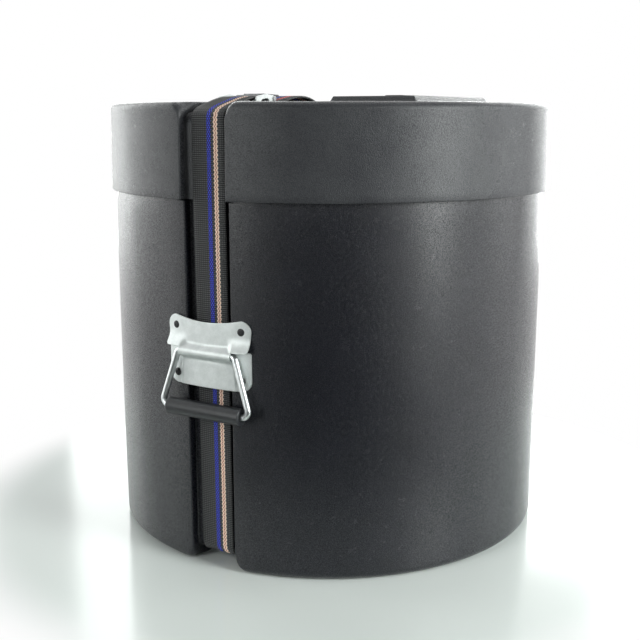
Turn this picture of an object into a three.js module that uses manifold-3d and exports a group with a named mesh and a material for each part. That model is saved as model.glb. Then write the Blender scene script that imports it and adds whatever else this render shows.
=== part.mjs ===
// A round moulded drum case with a lift-off lid, a webbing strap in a moulded channel, a cam buckle and a drop
// handle. Millimetres, +Z up. The handle is on the -Y side, and the strap lies in the plane X = 0.
// The origin is the centre of the bounding box's bottom face, on the surface that the case stands on.
import * as THREE from 'three';
import { mergeVertices } from 'three/addons/utils/BufferGeometryUtils.js';
import Module from 'manifold-3d';

const wasm = await Module();
wasm.setup();

// The two shells
const bodyRadius = 235.5;
const caseHeight = 461;
const lidDepth = 91;
const shellWall = 4;
const baseEdgeRadius = 8;
const lidEdgeRadius = 7;

// The strap channel, moulded into both shells
const channelWidth = 52;
const channelDepth = 11;
const channelBend = 12;

// Clearances
const touchGap = 0.3;
const lidTopGap = 0.5;
const lidFlare = 1.5;
const lidSlideGap = 1.5;
const neckSideGap = 2;
const neckDrop = 1;
const overrun = 30;

// The least share of a full mitre that a sharp fold in the webbing gets
const leastMitreShare = 0.5;

// The raised panel on the lid, and the blank pad on it
const panelLength = 191;
const panelWidth = 98;
const panelHeight = 6;
const panelSlope = 7;
const panelInset = 26;
const padLength = 92;
const padWidth = 22;
const padHeight = 1.5;
const padSlope = 1;

// Webbing
const strapWidth = 38;
const strapThickness = 1.6;
const archRise = 5;
const archRun = 20;
const sewnStart = 14;
const sewnLength = 20;
const humpRise = 6;
const humpNear = 54;
const humpFar = 113;
const tailLength = 252;

// Cam buckle
const buckleInset = 56.5;
const buckleWidth = 46;
const buckleCheek = 2;
const loopBarDiameter = 4.4;
const anvilDiameter = 4.4;
const anvilInset = 27;
const anvilHeight = 5.2;
const cheekRim = 2;
const pinInset = 29;
const pinDiameter = 3;
const pinHeadRadius = 2.7;
const pinHeadThickness = 1;
const camHeight = 14;
const toothDepth = 0.8;
const leverLength = 28;
const leverWidth = 24;
const leverThickness = 1.5;
const leverRise = 0.8;
const springWire = 0.8;
const springSeat = 6;

// Drop handle
const handleHeight = 223;
const rivetSpan = 76;
const rivetRise = 48;
const lobeRadius = 10.5;
const plateThickness = 1.5;
const plateDip = 4.5;
const plateWaist = 2.5;
const knuckleLength = 59;
const knuckleFillet = 4;
const wireDiameter = 6.4;
const wireGap = 0.4;
const barOverhang = 0.8;
const bailDrop = 57;
const bailReach = 53;
const armBend = 5;
const gripBend = 6.5;
const wireEndGap = 1;
const earWidth = 17;
const earTop = 19;
const earBottom = 4;
const earRise = 9.5;
const gussetWidth = 2;
const gripLength = 87;
const gripDiameter = 17;
const gripBore = 7.6;
const gripChamfer = 1.2;
const rivetShank = 4;
const rivetHeadRadius = 4;
const rivetHeadHeight = 1.8;
const rivetTailRadius = 3.8;
const rivetTailHeight = 2.2;
const washerRadius = 7;
const washerThickness = 1.2;

// Counts of facets
const turnSteps = 64;
const bendSteps = 4;
const wireSides = 10;
const wireBendSteps = 6;
const roundSteps = 20;
const smallSteps = 14;
const camTeeth = 6;
const springTurns = 3;
const springStepsPerTurn = 8;
const springSides = 5;

// Sizes that follow from those above
const innerRadius = bodyRadius - shellWall;
const lidTopRadius = bodyRadius + lidTopGap + shellWall;
const lidRimRadius = lidTopRadius + lidFlare;
const buckleOuter = bodyRadius - buckleInset;
const lidRimZ = caseHeight - lidDepth;
const bodyRimZ = caseHeight - shellWall - touchGap;
const bodyFloorY = bodyRadius - channelDepth;
const lidFloorY = bodyFloorY + lidSlideGap + shellWall;
const lidFloorZ = caseHeight - channelDepth;
const ribWidth = channelWidth + 2 * shellWall;
const neckWidth = ribWidth + 2 * neckSideGap;
const layer = touchGap + strapThickness / 2;

// Geometry to solid and back

function solidOf(geometry) {
  const bare = geometry.index ? geometry.toNonIndexed() : geometry.clone();
  bare.deleteAttribute('normal');
  bare.deleteAttribute('uv');
  const merged = mergeVertices(bare);
  const corners = merged.index.array;
  const kept = [];
  for (let i = 0; i < corners.length; i += 3) {
    const [a, b, c] = [corners[i], corners[i + 1], corners[i + 2]];
    if (a !== b && b !== c && c !== a) kept.push(a, b, c);
  }
  const vertProperties = new Float32Array(merged.attributes.position.array);
  const triVerts = new Uint32Array(kept);
  return new wasm.Manifold(new wasm.Mesh({ numProp: 3, vertProperties, triVerts }));
}

function geometryOf(solid) {
  const made = solid.getMesh();
  const geometry = new THREE.BufferGeometry();
  geometry.setAttribute('position', new THREE.BufferAttribute(new Float32Array(made.vertProperties), 3));
  geometry.setIndex(new THREE.BufferAttribute(new Uint32Array(made.triVerts), 1));
  const flat = geometry.toNonIndexed();
  flat.computeVertexNormals();
  return flat;
}

function meshOf(name, shape, material) {
  const geometry = shape.isBufferGeometry ? shape : geometryOf(shape);
  const mesh = new THREE.Mesh(geometry, material);
  mesh.name = name;
  return mesh;
}

// Building blocks

// A profile of [radius, height] pairs, turned about the Z axis.
function turned(profile, steps = turnSteps) {
  const points = profile.map(([radius, height]) => new THREE.Vector2(radius, height));
  return new THREE.LatheGeometry(points, steps).rotateX(Math.PI / 2);
}

// A block by its lowest and highest corners.
function block(low, high) {
  const size = high.map((value, i) => value - low[i]);
  const middle = high.map((value, i) => (value + low[i]) / 2);
  return new THREE.BoxGeometry(...size).translate(...middle);
}

// A block whose top face is drawn in on all four sides.
function slopedBlock(lengthX, lengthY, height, slope) {
  const geometry = new THREE.BoxGeometry(lengthX, lengthY, height);
  const position = geometry.attributes.position;
  for (let i = 0; i < position.count; i += 1) {
    if (position.getZ(i) < 0) continue;
    position.setX(i, position.getX(i) - Math.sign(position.getX(i)) * slope);
    position.setY(i, position.getY(i) - Math.sign(position.getY(i)) * slope);
  }
  return geometry.translate(0, 0, height / 2);
}

// An outline in the YZ plane, extruded along X between two places.
function alongX(shape, fromX, toX, curveSegments = bendSteps) {
  const geometry = new THREE.ExtrudeGeometry(shape, {
    depth: toX - fromX,
    bevelEnabled: false,
    curveSegments,
  });
  const turn = new THREE.Matrix4().makeBasis(
    new THREE.Vector3(0, 1, 0),
    new THREE.Vector3(0, 0, 1),
    new THREE.Vector3(1, 0, 0),
  );
  return geometry.translate(0, 0, fromX).applyMatrix4(turn);
}

// An outline in the XZ plane, extruded towards -Y from the plane Y = 0.
function towardsFront(shape, depth, curveSegments = bendSteps) {
  const geometry = new THREE.ExtrudeGeometry(shape, { depth, bevelEnabled: false, curveSegments });
  const turn = new THREE.Matrix4().makeBasis(
    new THREE.Vector3(1, 0, 0),
    new THREE.Vector3(0, 0, 1),
    new THREE.Vector3(0, -1, 0),
  );
  return geometry.applyMatrix4(turn);
}

// A plain round bar along X, by the place of its axis.
function barAlongX(y, z, radius, fromX, toX, steps = smallSteps) {
  const geometry = new THREE.CylinderGeometry(radius, radius, toX - fromX, steps);
  return geometry.rotateZ(-Math.PI / 2).translate((fromX + toX) / 2, y, z);
}

function union(first, ...others) {
  return others.reduce((sum, solid) => sum.add(solid), first);
}

function arc(centre, radius, from, to, steps = bendSteps) {
  return Array.from({ length: steps + 1 }, (_, i) => {
    const angle = from + ((to - from) * i) / steps;
    return [centre[0] + radius * Math.cos(angle), centre[1] + radius * Math.sin(angle)];
  });
}

function shapeOf(points) {
  return new THREE.Shape(points.map(([a, b]) => new THREE.Vector2(a, b)));
}

// Shells

// What a channel of one width takes out of a shell: the slab in the plane X = 0 less the rounded core inside it.
function channelCut(width, core) {
  const reach = lidRimRadius + overrun;
  const slab = block([-width / 2, -reach, -overrun], [width / 2, reach, caseHeight + overrun]);
  return solidOf(slab).subtract(solidOf(alongX(shapeOf(core), -width, width)));
}

// The core that the body's channel leaves: open upwards, with round corners at the base.
function bodyCore(halfSpan, floor, bend) {
  const top = caseHeight + 2 * overrun;
  return [
    [halfSpan, top],
    [-halfSpan, top],
    ...arc([-halfSpan + bend, floor + bend], bend, Math.PI, 1.5 * Math.PI),
    ...arc([halfSpan - bend, floor + bend], bend, 1.5 * Math.PI, 2 * Math.PI),
  ];
}

// The core that the lid's channel leaves: open downwards, with round corners at the top.
function lidCore(halfSpan, ceiling, bend) {
  const bottom = -2 * overrun;
  return [
    [-halfSpan, bottom],
    [halfSpan, bottom],
    ...arc([halfSpan - bend, ceiling - bend], bend, 0, Math.PI / 2),
    ...arc([-halfSpan + bend, ceiling - bend], bend, Math.PI / 2, Math.PI),
  ];
}

function rivetPlaces() {
  const turn = Math.asin(rivetSpan / 2 / bodyRadius);
  return [-1, 1].flatMap((rise) =>
    [-1, 1].map((side) => ({ turn: side * turn, z: handleHeight + (rise * rivetRise) / 2 })),
  );
}

// A geometry made along +Z from the shell's axis, laid radially at a rivet's place.
function laidRadially(geometry, place) {
  return geometry.rotateX(Math.PI / 2).rotateZ(place.turn).translate(0, 0, place.z);
}

function rivetHoles() {
  const radius = rivetShank / 2 + touchGap;
  const length = 2 * overrun;
  return rivetPlaces().map((place) => {
    const drill = new THREE.CylinderGeometry(radius, radius, length, smallSteps).rotateX(Math.PI / 2);
    return solidOf(laidRadially(drill.translate(0, 0, bodyRadius), place));
  });
}

function bodyShell() {
  const outerEdge = [bodyRadius - baseEdgeRadius, baseEdgeRadius];
  const innerBend = baseEdgeRadius - shellWall;
  const innerEdge = [innerRadius - innerBend, shellWall + innerBend];
  const rimBend = lidEdgeRadius - shellWall;
  const rimEdge = [bodyRadius - rimBend, bodyRimZ - rimBend];
  const outside = solidOf(
    turned([
      [0, 0],
      ...arc(outerEdge, baseEdgeRadius, -Math.PI / 2, 0),
      ...arc(rimEdge, rimBend, 0, Math.PI / 2),
      [0, bodyRimZ],
    ]),
  );
  const open = bodyRimZ + overrun;
  const inside = solidOf(
    turned([[0, shellWall], ...arc(innerEdge, innerBend, -Math.PI / 2, 0), [innerRadius, open], [0, open]]),
  );
  const outerCore = bodyCore(bodyFloorY, channelDepth, channelBend);
  const innerCore = bodyCore(bodyFloorY - shellWall, channelDepth + shellWall, channelBend - shellWall);
  const reach = lidRimRadius + overrun;
  const neckZ = lidRimZ - neckDrop;
  const neckZone = solidOf(block([-reach, -reach, neckZ], [reach, reach, open]));
  const ribZone = solidOf(block([-reach, -reach, neckZ - shellWall], [reach, reach, 2 * open]));
  const outerCut = channelCut(channelWidth, outerCore).add(channelCut(neckWidth, outerCore).intersect(neckZone));
  const ribs = channelCut(ribWidth, innerCore).add(
    channelCut(neckWidth + 2 * shellWall, innerCore).intersect(ribZone),
  );
  const notchCore = lidCore(bodyFloorY, lidFloorZ - shellWall - touchGap, channelBend - shellWall);
  const notch = channelCut(neckWidth, notchCore);
  const shell = outside.subtract(outerCut).subtract(inside.subtract(ribs)).subtract(notch.intersect(neckZone));
  return rivetHoles().reduce((solid, hole) => solid.subtract(hole), shell);
}

// The lid's outline, turned: offset gives the inner face.
function lidProfile(offset, bottom) {
  const top = caseHeight - offset;
  const bend = lidEdgeRadius - offset;
  const centre = [lidTopRadius - lidEdgeRadius, caseHeight - lidEdgeRadius];
  return [[0, bottom], [lidRimRadius - offset, bottom], ...arc(centre, bend, 0, Math.PI / 2), [0, top]];
}

// The raised panel beside the channel; inset makes the hollow under it.
function panel(inset) {
  const middle = channelWidth / 2 + panelInset + panelWidth / 2;
  const raised = slopedBlock(panelWidth - 2 * inset, panelLength - 2 * inset, panelHeight + shellWall, panelSlope);
  return raised.translate(middle, 0, caseHeight - shellWall - inset);
}

function pad() {
  const middle = channelWidth / 2 + panelInset + panelWidth / 2;
  return slopedBlock(padWidth, padLength, padHeight + shellWall / 2, padSlope).translate(
    middle,
    0,
    caseHeight + panelHeight - shellWall / 2,
  );
}

function lidShell() {
  const outside = union(solidOf(turned(lidProfile(0, lidRimZ))), solidOf(panel(0)), solidOf(pad()));
  const inside = solidOf(turned(lidProfile(shellWall, lidRimZ - overrun))).add(solidOf(panel(shellWall)));
  const outerCore = lidCore(lidFloorY, lidFloorZ, channelBend);
  const innerCore = lidCore(lidFloorY - shellWall, lidFloorZ - shellWall, channelBend - shellWall);
  const ribs = channelCut(ribWidth, innerCore);
  return outside.subtract(channelCut(channelWidth, outerCore)).subtract(inside.subtract(ribs));
}

// Webbing

// A stretch of webbing: its middle line in the YZ plane, thickened both ways and extruded across its width.
function webbing(line) {
  const points = line.map(([y, z]) => new THREE.Vector2(y, z));
  const sides = [[], []];
  points.forEach((point, i) => {
    const before = point.clone().sub(points[Math.max(i - 1, 0)]).normalize();
    const after = points[Math.min(i + 1, points.length - 1)].clone().sub(point).normalize();
    const along = before.clone().add(after).normalize();
    const mitre = strapThickness / 2 / Math.max(along.dot(i ? before : after), leastMitreShare);
    const normal = new THREE.Vector2(-along.y, along.x).multiplyScalar(mitre);
    sides[0].push(point.clone().add(normal));
    sides[1].unshift(point.clone().sub(normal));
  });
  return alongX(new THREE.Shape([...sides[0], ...sides[1]]), -strapWidth / 2, strapWidth / 2);
}

// Where a taut line from a point touches the round corner under the base, on the side given by sign.
const baseCorner = [bodyFloorY - channelBend, channelDepth + channelBend];
const baseCornerRadius = channelBend + layer;
const sideY = lidFloorY + layer;

function baseTangentAngle() {
  const across = sideY - baseCorner[0];
  const up = lidRimZ - baseCorner[1];
  return Math.atan2(up, across) - Math.acos(baseCornerRadius / Math.hypot(across, up));
}

function baseTangentPoint(sign) {
  const angle = baseTangentAngle();
  const y = baseCorner[0] + baseCornerRadius * Math.cos(angle);
  return [sign * y, baseCorner[1] + baseCornerRadius * Math.sin(angle)];
}

function baseRun() {
  const angle = baseTangentAngle();
  const rear = arc(baseCorner, baseCornerRadius, angle, -Math.PI / 2, 2 * bendSteps);
  const front = rear.map(([y, z]) => [-y, z]).reverse();
  return webbing([...rear, ...front]);
}

function sideRun(sign) {
  const [y, z] = baseTangentPoint(sign);
  return webbing([
    [y, z + touchGap],
    [sign * sideY, lidRimZ - touchGap],
  ]);
}

// The buckle's places, as distances towards the handle from the lid's centre and heights
const loopBarY = -(buckleOuter - loopBarDiameter / 2 - touchGap / 2);
const wrapRadius = loopBarDiameter / 2 + layer;
const archZ = caseHeight + archRise - strapThickness / 2;
const loopBarZ = archZ - wrapRadius;
const anvilY = -(buckleOuter - anvilInset);
const anvilZ = lidFloorZ + anvilHeight;
const anvilWrap = anvilDiameter / 2 + layer;
const pinY = -(buckleOuter - pinInset);
const pinZ = lidFloorZ + camHeight;
const camRadius = pinZ - (anvilZ + anvilWrap + layer);

// The sewn end: up the lid's side, in an arch over its edge, round the buckle's bar and back under itself.
function frontTop() {
  const archEnd = loopBarY - wrapRadius - sewnStart - sewnLength;
  const archStart = lidFloorZ - channelBend;
  const arch = new THREE.CubicBezierCurve(
    new THREE.Vector2(-sideY, archStart),
    new THREE.Vector2(-sideY, archStart + archRun),
    new THREE.Vector2((archEnd - sideY) / 2 - layer, archZ),
    new THREE.Vector2(archEnd, archZ),
  );
  const under = archZ - strapThickness - touchGap;
  return webbing([
    [-sideY, lidRimZ],
    ...arch.getPoints(3 * bendSteps).map((point) => [point.x, point.y]),
    ...arc([loopBarY, loopBarZ], wrapRadius, Math.PI / 2, -Math.PI / 2, 2 * bendSteps),
    [loopBarY - sewnStart, under],
    [loopBarY - sewnStart - sewnLength, under],
  ]);
}

// The adjusting end: up the rear of the lid, along its channel, round the buckle's anvil under the cam, and
// back as a tail that bows up behind the lever before it lies on the webbing below.
function rearTop() {
  const floor = lidFloorZ + layer;
  const second = floor + strapThickness + touchGap;
  const corner = [lidFloorY - channelBend, lidFloorZ - channelBend];
  const crest = caseHeight + humpRise - strapThickness / 2;
  const gripZ = anvilZ + anvilWrap;
  const humpY = anvilY + (humpNear + humpFar) / 2;
  const hump = new THREE.CatmullRomCurve3(
    [
      [anvilY + anvilWrap, gripZ],
      [anvilY + humpNear / 2, (gripZ + crest) / 2],
      [anvilY + humpNear, crest],
      [humpY, (crest + second) / 2],
      [anvilY + humpFar, second],
    ].map(([y, z]) => new THREE.Vector3(0, y, z)),
  );
  return webbing([
    [sideY, lidRimZ],
    ...arc(corner, channelBend + layer, 0, Math.PI / 2),
    [anvilY + humpNear, floor],
    ...arc([anvilY, anvilZ], anvilWrap, 1.5 * Math.PI, Math.PI / 2, 2 * bendSteps),
    ...hump.getPoints(4 * bendSteps).map((point) => [point.y, point.z]),
    [anvilY + tailLength, second],
  ]);
}

// Cam buckle

// A flat link with round ends between two axes, as an outline.
function link(from, to, radius) {
  const angle = Math.atan2(to[1] - from[1], to[0] - from[0]);
  const half = Math.PI / 2;
  return shapeOf([
    ...arc(from, radius, angle + half, angle + 3 * half),
    ...arc(to, radius, angle - half, angle + half),
  ]);
}

function buckleCheeks() {
  const outer = buckleWidth / 2;
  const inner = outer - buckleCheek;
  const radius = pinDiameter / 2 + touchGap + cheekRim;
  const links = [
    link([loopBarY, loopBarZ], [pinY, pinZ], radius),
    link([pinY, pinZ], [anvilY, anvilZ], radius),
  ];
  return [-outer, inner].flatMap((x) => links.map((outline) => solidOf(alongX(outline, x, x + buckleCheek))));
}

function buckleFrame() {
  const inner = buckleWidth / 2 - buckleCheek / 2;
  const bars = [
    barAlongX(loopBarY, loopBarZ, loopBarDiameter / 2, -inner, inner),
    barAlongX(anvilY, anvilZ, anvilDiameter / 2, -inner, inner),
  ];
  const drill = barAlongX(pinY, pinZ, pinDiameter / 2 + touchGap, -buckleWidth, buckleWidth);
  return union(...buckleCheeks(), ...bars.map(solidOf)).subtract(solidOf(drill));
}

function bucklePin() {
  const half = buckleWidth / 2 + touchGap;
  const end = half + pinHeadThickness;
  const radius = pinDiameter / 2;
  const profile = [
    [0, -end],
    [pinHeadRadius, -end],
    [pinHeadRadius, -half],
    [radius, -half],
    [radius, half],
    [pinHeadRadius, half],
    [pinHeadRadius, end],
    [0, end],
  ];
  return turned(profile, smallSteps).rotateY(Math.PI / 2).translate(0, pinY, pinZ);
}

// The cam's outline about its pin: round, with teeth on the side that bites the webbing.
function camOutline() {
  const bite = Math.PI / 2;
  const teeth = Array.from({ length: 2 * camTeeth + 1 }, (_, i) => {
    const angle = Math.PI + bite / 2 + (bite * i) / (2 * camTeeth);
    const radius = i % 2 ? camRadius - toothDepth : camRadius;
    return [radius * Math.cos(angle), radius * Math.sin(angle)];
  });
  const rest = arc([0, 0], camRadius, 2 * Math.PI - bite / 2, 3 * Math.PI + bite / 2, 3 * bendSteps);
  return shapeOf([...teeth, ...rest.slice(1, -1)]);
}

function buckleLever() {
  const inner = buckleWidth / 2 - buckleCheek - touchGap;
  const cam = solidOf(alongX(camOutline(), -inner, inner - springSeat));
  const top = camRadius - leverThickness / 2;
  const tab = shapeOf([
    [0, top],
    [leverLength, top - leverRise],
    [leverLength, top - leverRise + leverThickness],
    [0, top + leverThickness],
  ]);
  const bore = barAlongX(0, 0, pinDiameter / 2 + touchGap, -buckleWidth, buckleWidth);
  const lever = solidOf(alongX(tab, -leverWidth / 2, leverWidth / 2));
  return cam.add(lever).subtract(solidOf(bore));
}

// A curve through given points, stepped point by point instead of by length.
class BentWire extends THREE.Curve {
  constructor(points) {
    super();
    this.points = points;
  }

  getUtoTmapping(u) {
    return u;
  }

  getPoint(t, target = new THREE.Vector3()) {
    const at = t * (this.points.length - 1);
    const i = Math.min(Math.floor(at), this.points.length - 2);
    return target.lerpVectors(this.points[i], this.points[i + 1], at - i);
  }
}

function wireAlong(points, radius, sides) {
  const section = shapeOf(arc([0, 0], radius, 0, 2 * Math.PI, sides).slice(0, -1));
  return new THREE.ExtrudeGeometry(section, {
    steps: points.length - 1,
    bevelEnabled: false,
    extrudePath: new BentWire(points),
  });
}

// The least gap between one turn of a wound wire and the others, measured on the points of its middle line.
function leastGap(points, diameter, stepsPerTurn) {
  const halfTurn = Math.ceil(stepsPerTurn / 2);
  const gaps = points.flatMap((point, i) =>
    points.slice(i + halfTurn).map((other) => point.distanceTo(other) - diameter),
  );
  return Math.min(...gaps);
}

function camSpring() {
  const coil = pinDiameter / 2 + springWire / 2 + touchGap;
  const length = springSeat - springWire - 2 * touchGap;
  const start = buckleWidth / 2 - buckleCheek - springSeat + springWire / 2 + touchGap;
  const steps = springTurns * springStepsPerTurn;
  const points = Array.from({ length: steps + 1 }, (_, i) => {
    const angle = (2 * Math.PI * i) / springStepsPerTurn;
    const x = start + (length * i) / steps;
    return new THREE.Vector3(x, pinY + coil * Math.cos(angle), pinZ + coil * Math.sin(angle));
  });
  const gap = leastGap(points, springWire, springStepsPerTurn);
  console.log(`cam_spring: the least gap between its turns is ${gap.toFixed(2)} mm`);
  return wireAlong(points, springWire / 2, springSides);
}

// Drop handle

const plateInner = bodyRadius + touchGap;
const plateOuter = plateInner + plateThickness;
const pivotY = -(plateInner + wireGap / 2 + wireDiameter / 2);
const knuckleInner = wireDiameter / 2 + wireGap;
const knuckleOuter = knuckleInner + plateThickness;

// The plate's outline, with a lobe round each rivet and a dip between the upper two.
function plateOutline() {
  const half = rivetSpan / 2;
  const rise = rivetRise / 2;
  const shape = new THREE.Shape();
  shape.moveTo(-half, rise + lobeRadius);
  shape.quadraticCurveTo(0, rise + lobeRadius - 2 * plateDip, half, rise + lobeRadius);
  shape.absarc(half, rise, lobeRadius, Math.PI / 2, 0, true);
  shape.lineTo(half + lobeRadius - plateWaist, 0);
  shape.absarc(half, -rise, lobeRadius, 0, -Math.PI / 2, true);
  shape.absarc(-half, -rise, lobeRadius, -Math.PI / 2, -Math.PI, true);
  shape.lineTo(-half - lobeRadius + plateWaist, 0);
  shape.absarc(-half, rise, lobeRadius, Math.PI, Math.PI / 2, true);
  return shape;
}

function cylinderAboutCase(radius) {
  const height = 2 * (rivetRise + lobeRadius);
  return new THREE.CylinderGeometry(radius, radius, height, turnSteps).rotateX(Math.PI / 2);
}

// The half tube that holds the bail, with a fillet above and below, before its inside is cut.
function knuckle() {
  const foot = -(plateInner - overrun);
  const face = -plateOuter;
  const flare = knuckleOuter + knuckleFillet;
  const outline = [
    [foot, flare],
    [face, flare],
    ...arc([face - knuckleFillet, flare], knuckleFillet, 0, -Math.PI / 4, 2).slice(1),
    ...arc([pivotY, 0], knuckleOuter, 0.75 * Math.PI, 1.25 * Math.PI),
    ...arc([face - knuckleFillet, -flare], knuckleFillet, Math.PI / 4, 0, 2).slice(0, -1),
    [face, -flare],
    [foot, -flare],
  ];
  return solidOf(alongX(shapeOf(outline), -knuckleLength / 2, knuckleLength / 2));
}

// One stop ear: a tongue that leaves the plate above and stands off it below, with a gusset beside the knuckle.
function ear(side) {
  const place = rivetSpan / 2;
  const turn = side * Math.asin(place / bodyRadius);
  const back = -(plateInner - overrun);
  const tip = -(plateInner + earRise);
  const tongue = [
    [-plateOuter, earTop],
    [tip, earBottom],
    [tip + plateThickness, earBottom],
    [-plateInner, earTop - plateThickness],
    [-plateInner, earTop],
  ];
  const web = [
    [-plateOuter, earTop],
    [tip, earBottom],
    [back, earBottom],
    [back, earTop],
  ];
  const laid = (outline, width) => {
    const inner = side * (knuckleLength / 2 - gussetWidth - place);
    const outer = inner + side * width;
    return solidOf(alongX(shapeOf(outline), Math.min(inner, outer), Math.max(inner, outer)).rotateZ(turn));
  };
  return laid(tongue, gussetWidth + earWidth).add(laid(web, gussetWidth));
}

// The opening behind a stop ear, where the ear's metal came from.
function earWindow(side) {
  const place = rivetSpan / 2;
  const turn = side * Math.asin(place / bodyRadius);
  const low = side > 0 ? knuckleLength / 2 - place : -overrun;
  const high = side > 0 ? overrun : place - knuckleLength / 2;
  const bottom = knuckleInner - touchGap;
  const window = block([low, -plateOuter - touchGap, bottom], [high, -bodyRadius, earTop - plateThickness]);
  return solidOf(window.rotateZ(turn));
}

function handlePlate() {
  const sheet = solidOf(towardsFront(plateOutline(), 2 * bodyRadius, 2 * bendSteps)).intersect(
    solidOf(cylinderAboutCase(plateOuter)),
  );
  const pressed = union(
    sheet.subtract(earWindow(-1)).subtract(earWindow(1)),
    knuckle(),
    ear(-1),
    ear(1),
  );
  const reach = knuckleLength / 2 + gussetWidth;
  const bore = solidOf(barAlongX(pivotY, 0, knuckleInner, -reach, reach, roundSteps));
  const back = solidOf(block([-reach, pivotY, -knuckleInner], [reach, 0, knuckleInner]));
  const bared = pressed.subtract(solidOf(cylinderAboutCase(plateInner))).subtract(bore).subtract(back);
  const holes = rivetHoles().map((hole) => solidOf(geometryOf(hole).translate(0, 0, -handleHeight)));
  return holes.reduce((solid, hole) => solid.subtract(hole), bared);
}

// The middle line of a wire through corner points, each corner rounded with its own radius.
function roundedLine(corners, radii) {
  const points = [corners[0]];
  for (let i = 1; i < corners.length - 1; i += 1) {
    const toBefore = corners[i - 1].clone().sub(corners[i]).normalize();
    const toAfter = corners[i + 1].clone().sub(corners[i]).normalize();
    const half = toBefore.angleTo(toAfter) / 2;
    const reach = radii[i - 1] / Math.tan(half);
    const middle = toBefore.clone().add(toAfter).normalize().multiplyScalar(radii[i - 1] / Math.sin(half));
    const centre = corners[i].clone().add(middle);
    const start = corners[i].clone().addScaledVector(toBefore, reach).sub(centre);
    const end = corners[i].clone().addScaledVector(toAfter, reach).sub(centre);
    const axis = start.clone().cross(end).normalize();
    const sweep = start.angleTo(end);
    for (let k = 0; k <= wireBendSteps; k += 1) {
      const spoke = start.clone().applyAxisAngle(axis, (sweep * k) / wireBendSteps);
      points.push(centre.clone().add(spoke));
    }
  }
  points.push(corners[corners.length - 1]);
  return points;
}

// The bail, hanging straight down from its pivot axis; its two ends meet inside the grip.
function bailWire() {
  const shoulder = knuckleLength / 2 + barOverhang;
  const lean = Math.atan((bailReach - shoulder) / bailDrop);
  const corner = shoulder + armBend * Math.tan((Math.PI / 2 - lean) / 2);
  const end = wireEndGap / 2;
  const places = [
    [end, -bailDrop],
    [bailReach, -bailDrop],
    [corner, 0],
    [-corner, 0],
    [-bailReach, -bailDrop],
    [-end, -bailDrop],
  ];
  const corners = places.map(([x, z]) => new THREE.Vector3(x, 0, z));
  return wireAlong(roundedLine(corners, [gripBend, armBend, armBend, gripBend]), wireDiameter / 2, wireSides);
}

function grip() {
  const half = gripLength / 2;
  const radius = gripDiameter / 2;
  const bore = gripBore / 2;
  const profile = [
    [bore, -half],
    [radius - gripChamfer, -half],
    [radius, -half + gripChamfer],
    [radius, half - gripChamfer],
    [radius - gripChamfer, half],
    [bore, half],
    [bore, -half],
  ];
  return turned(profile, roundSteps).rotateY(Math.PI / 2);
}

// How far the bail leans out when the grip rests against the two edges of the channel.
function hangAngle() {
  const edge = Math.sqrt(bodyRadius ** 2 - (channelWidth / 2) ** 2);
  const gripY = edge + gripDiameter / 2 + touchGap;
  return Math.asin((gripY + pivotY) / bailDrop);
}

function washerSeat() {
  const flat = innerRadius * Math.cos(Math.PI / turnSteps);
  return flat - washerRadius ** 2 / (2 * innerRadius) - touchGap;
}

function rivet(place) {
  const head = plateOuter + touchGap;
  const tail = washerSeat() - washerThickness - touchGap;
  const shank = rivetShank / 2;
  const profile = [
    [0, tail - rivetTailHeight],
    [rivetTailRadius, tail - rivetTailHeight],
    [rivetTailRadius, tail],
    [shank, tail],
    [shank, head],
    [rivetHeadRadius, head],
    [rivetHeadRadius, head + rivetHeadHeight / 2],
    [(rivetHeadRadius + shank) / 2, head + rivetHeadHeight],
    [0, head + rivetHeadHeight],
  ];
  return laidRadially(turned(profile, smallSteps), place);
}

function washer(place) {
  const seat = washerSeat();
  const bore = rivetShank / 2 + touchGap;
  const profile = [
    [bore, seat - washerThickness],
    [washerRadius, seat - washerThickness],
    [washerRadius, seat],
    [bore, seat],
    [bore, seat - washerThickness],
  ];
  return laidRadially(turned(profile, smallSteps), place);
}

// Finishes

function finish(color, roughness, metalness) {
  return new THREE.MeshStandardMaterial({ color, roughness, metalness });
}

const blackShell = () => finish(0x26282b, 0.5, 0);
const blackWebbing = () => finish(0x1a1b1e, 0.9, 0);
const zincPlate = () => finish(0xcdd3d4, 0.3, 0.9);
const brightSteel = () => finish(0xb9bec0, 0.25, 1);
const gripPlastic = () => finish(0x2b2c2f, 0.45, 0);
const blackRivet = () => finish(0x1c1c1e, 0.4, 0.2);

// The case: body with its handle, and lid with its buckle

function bodyGroup() {
  const group = new THREE.Group();
  group.add(meshOf('body_shell', bodyShell(), blackShell()));
  group.add(meshOf('strap_base_run', baseRun(), blackWebbing()));
  group.add(meshOf('strap_front_run', sideRun(-1), blackWebbing()));
  group.add(meshOf('strap_rear_run', sideRun(1), blackWebbing()));
  rivetPlaces().forEach((place, i) => {
    group.add(meshOf(`handle_rivet_${i + 1}`, rivet(place), blackRivet()));
    group.add(meshOf(`rivet_washer_${i + 1}`, washer(place), brightSteel()));
  });
  return group;
}

function handleGroup() {
  const group = new THREE.Group();
  group.position.z = handleHeight;
  group.add(meshOf('handle_plate', handlePlate(), zincPlate()));
  const bail = new THREE.Group();
  bail.position.y = pivotY;
  bail.rotation.x = -hangAngle();
  bail.add(meshOf('handle_bail', bailWire(), brightSteel()));
  const gripMesh = meshOf('handle_grip', grip(), gripPlastic());
  gripMesh.position.z = -bailDrop;
  bail.add(gripMesh);
  group.add(bail);
  return group;
}

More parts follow.
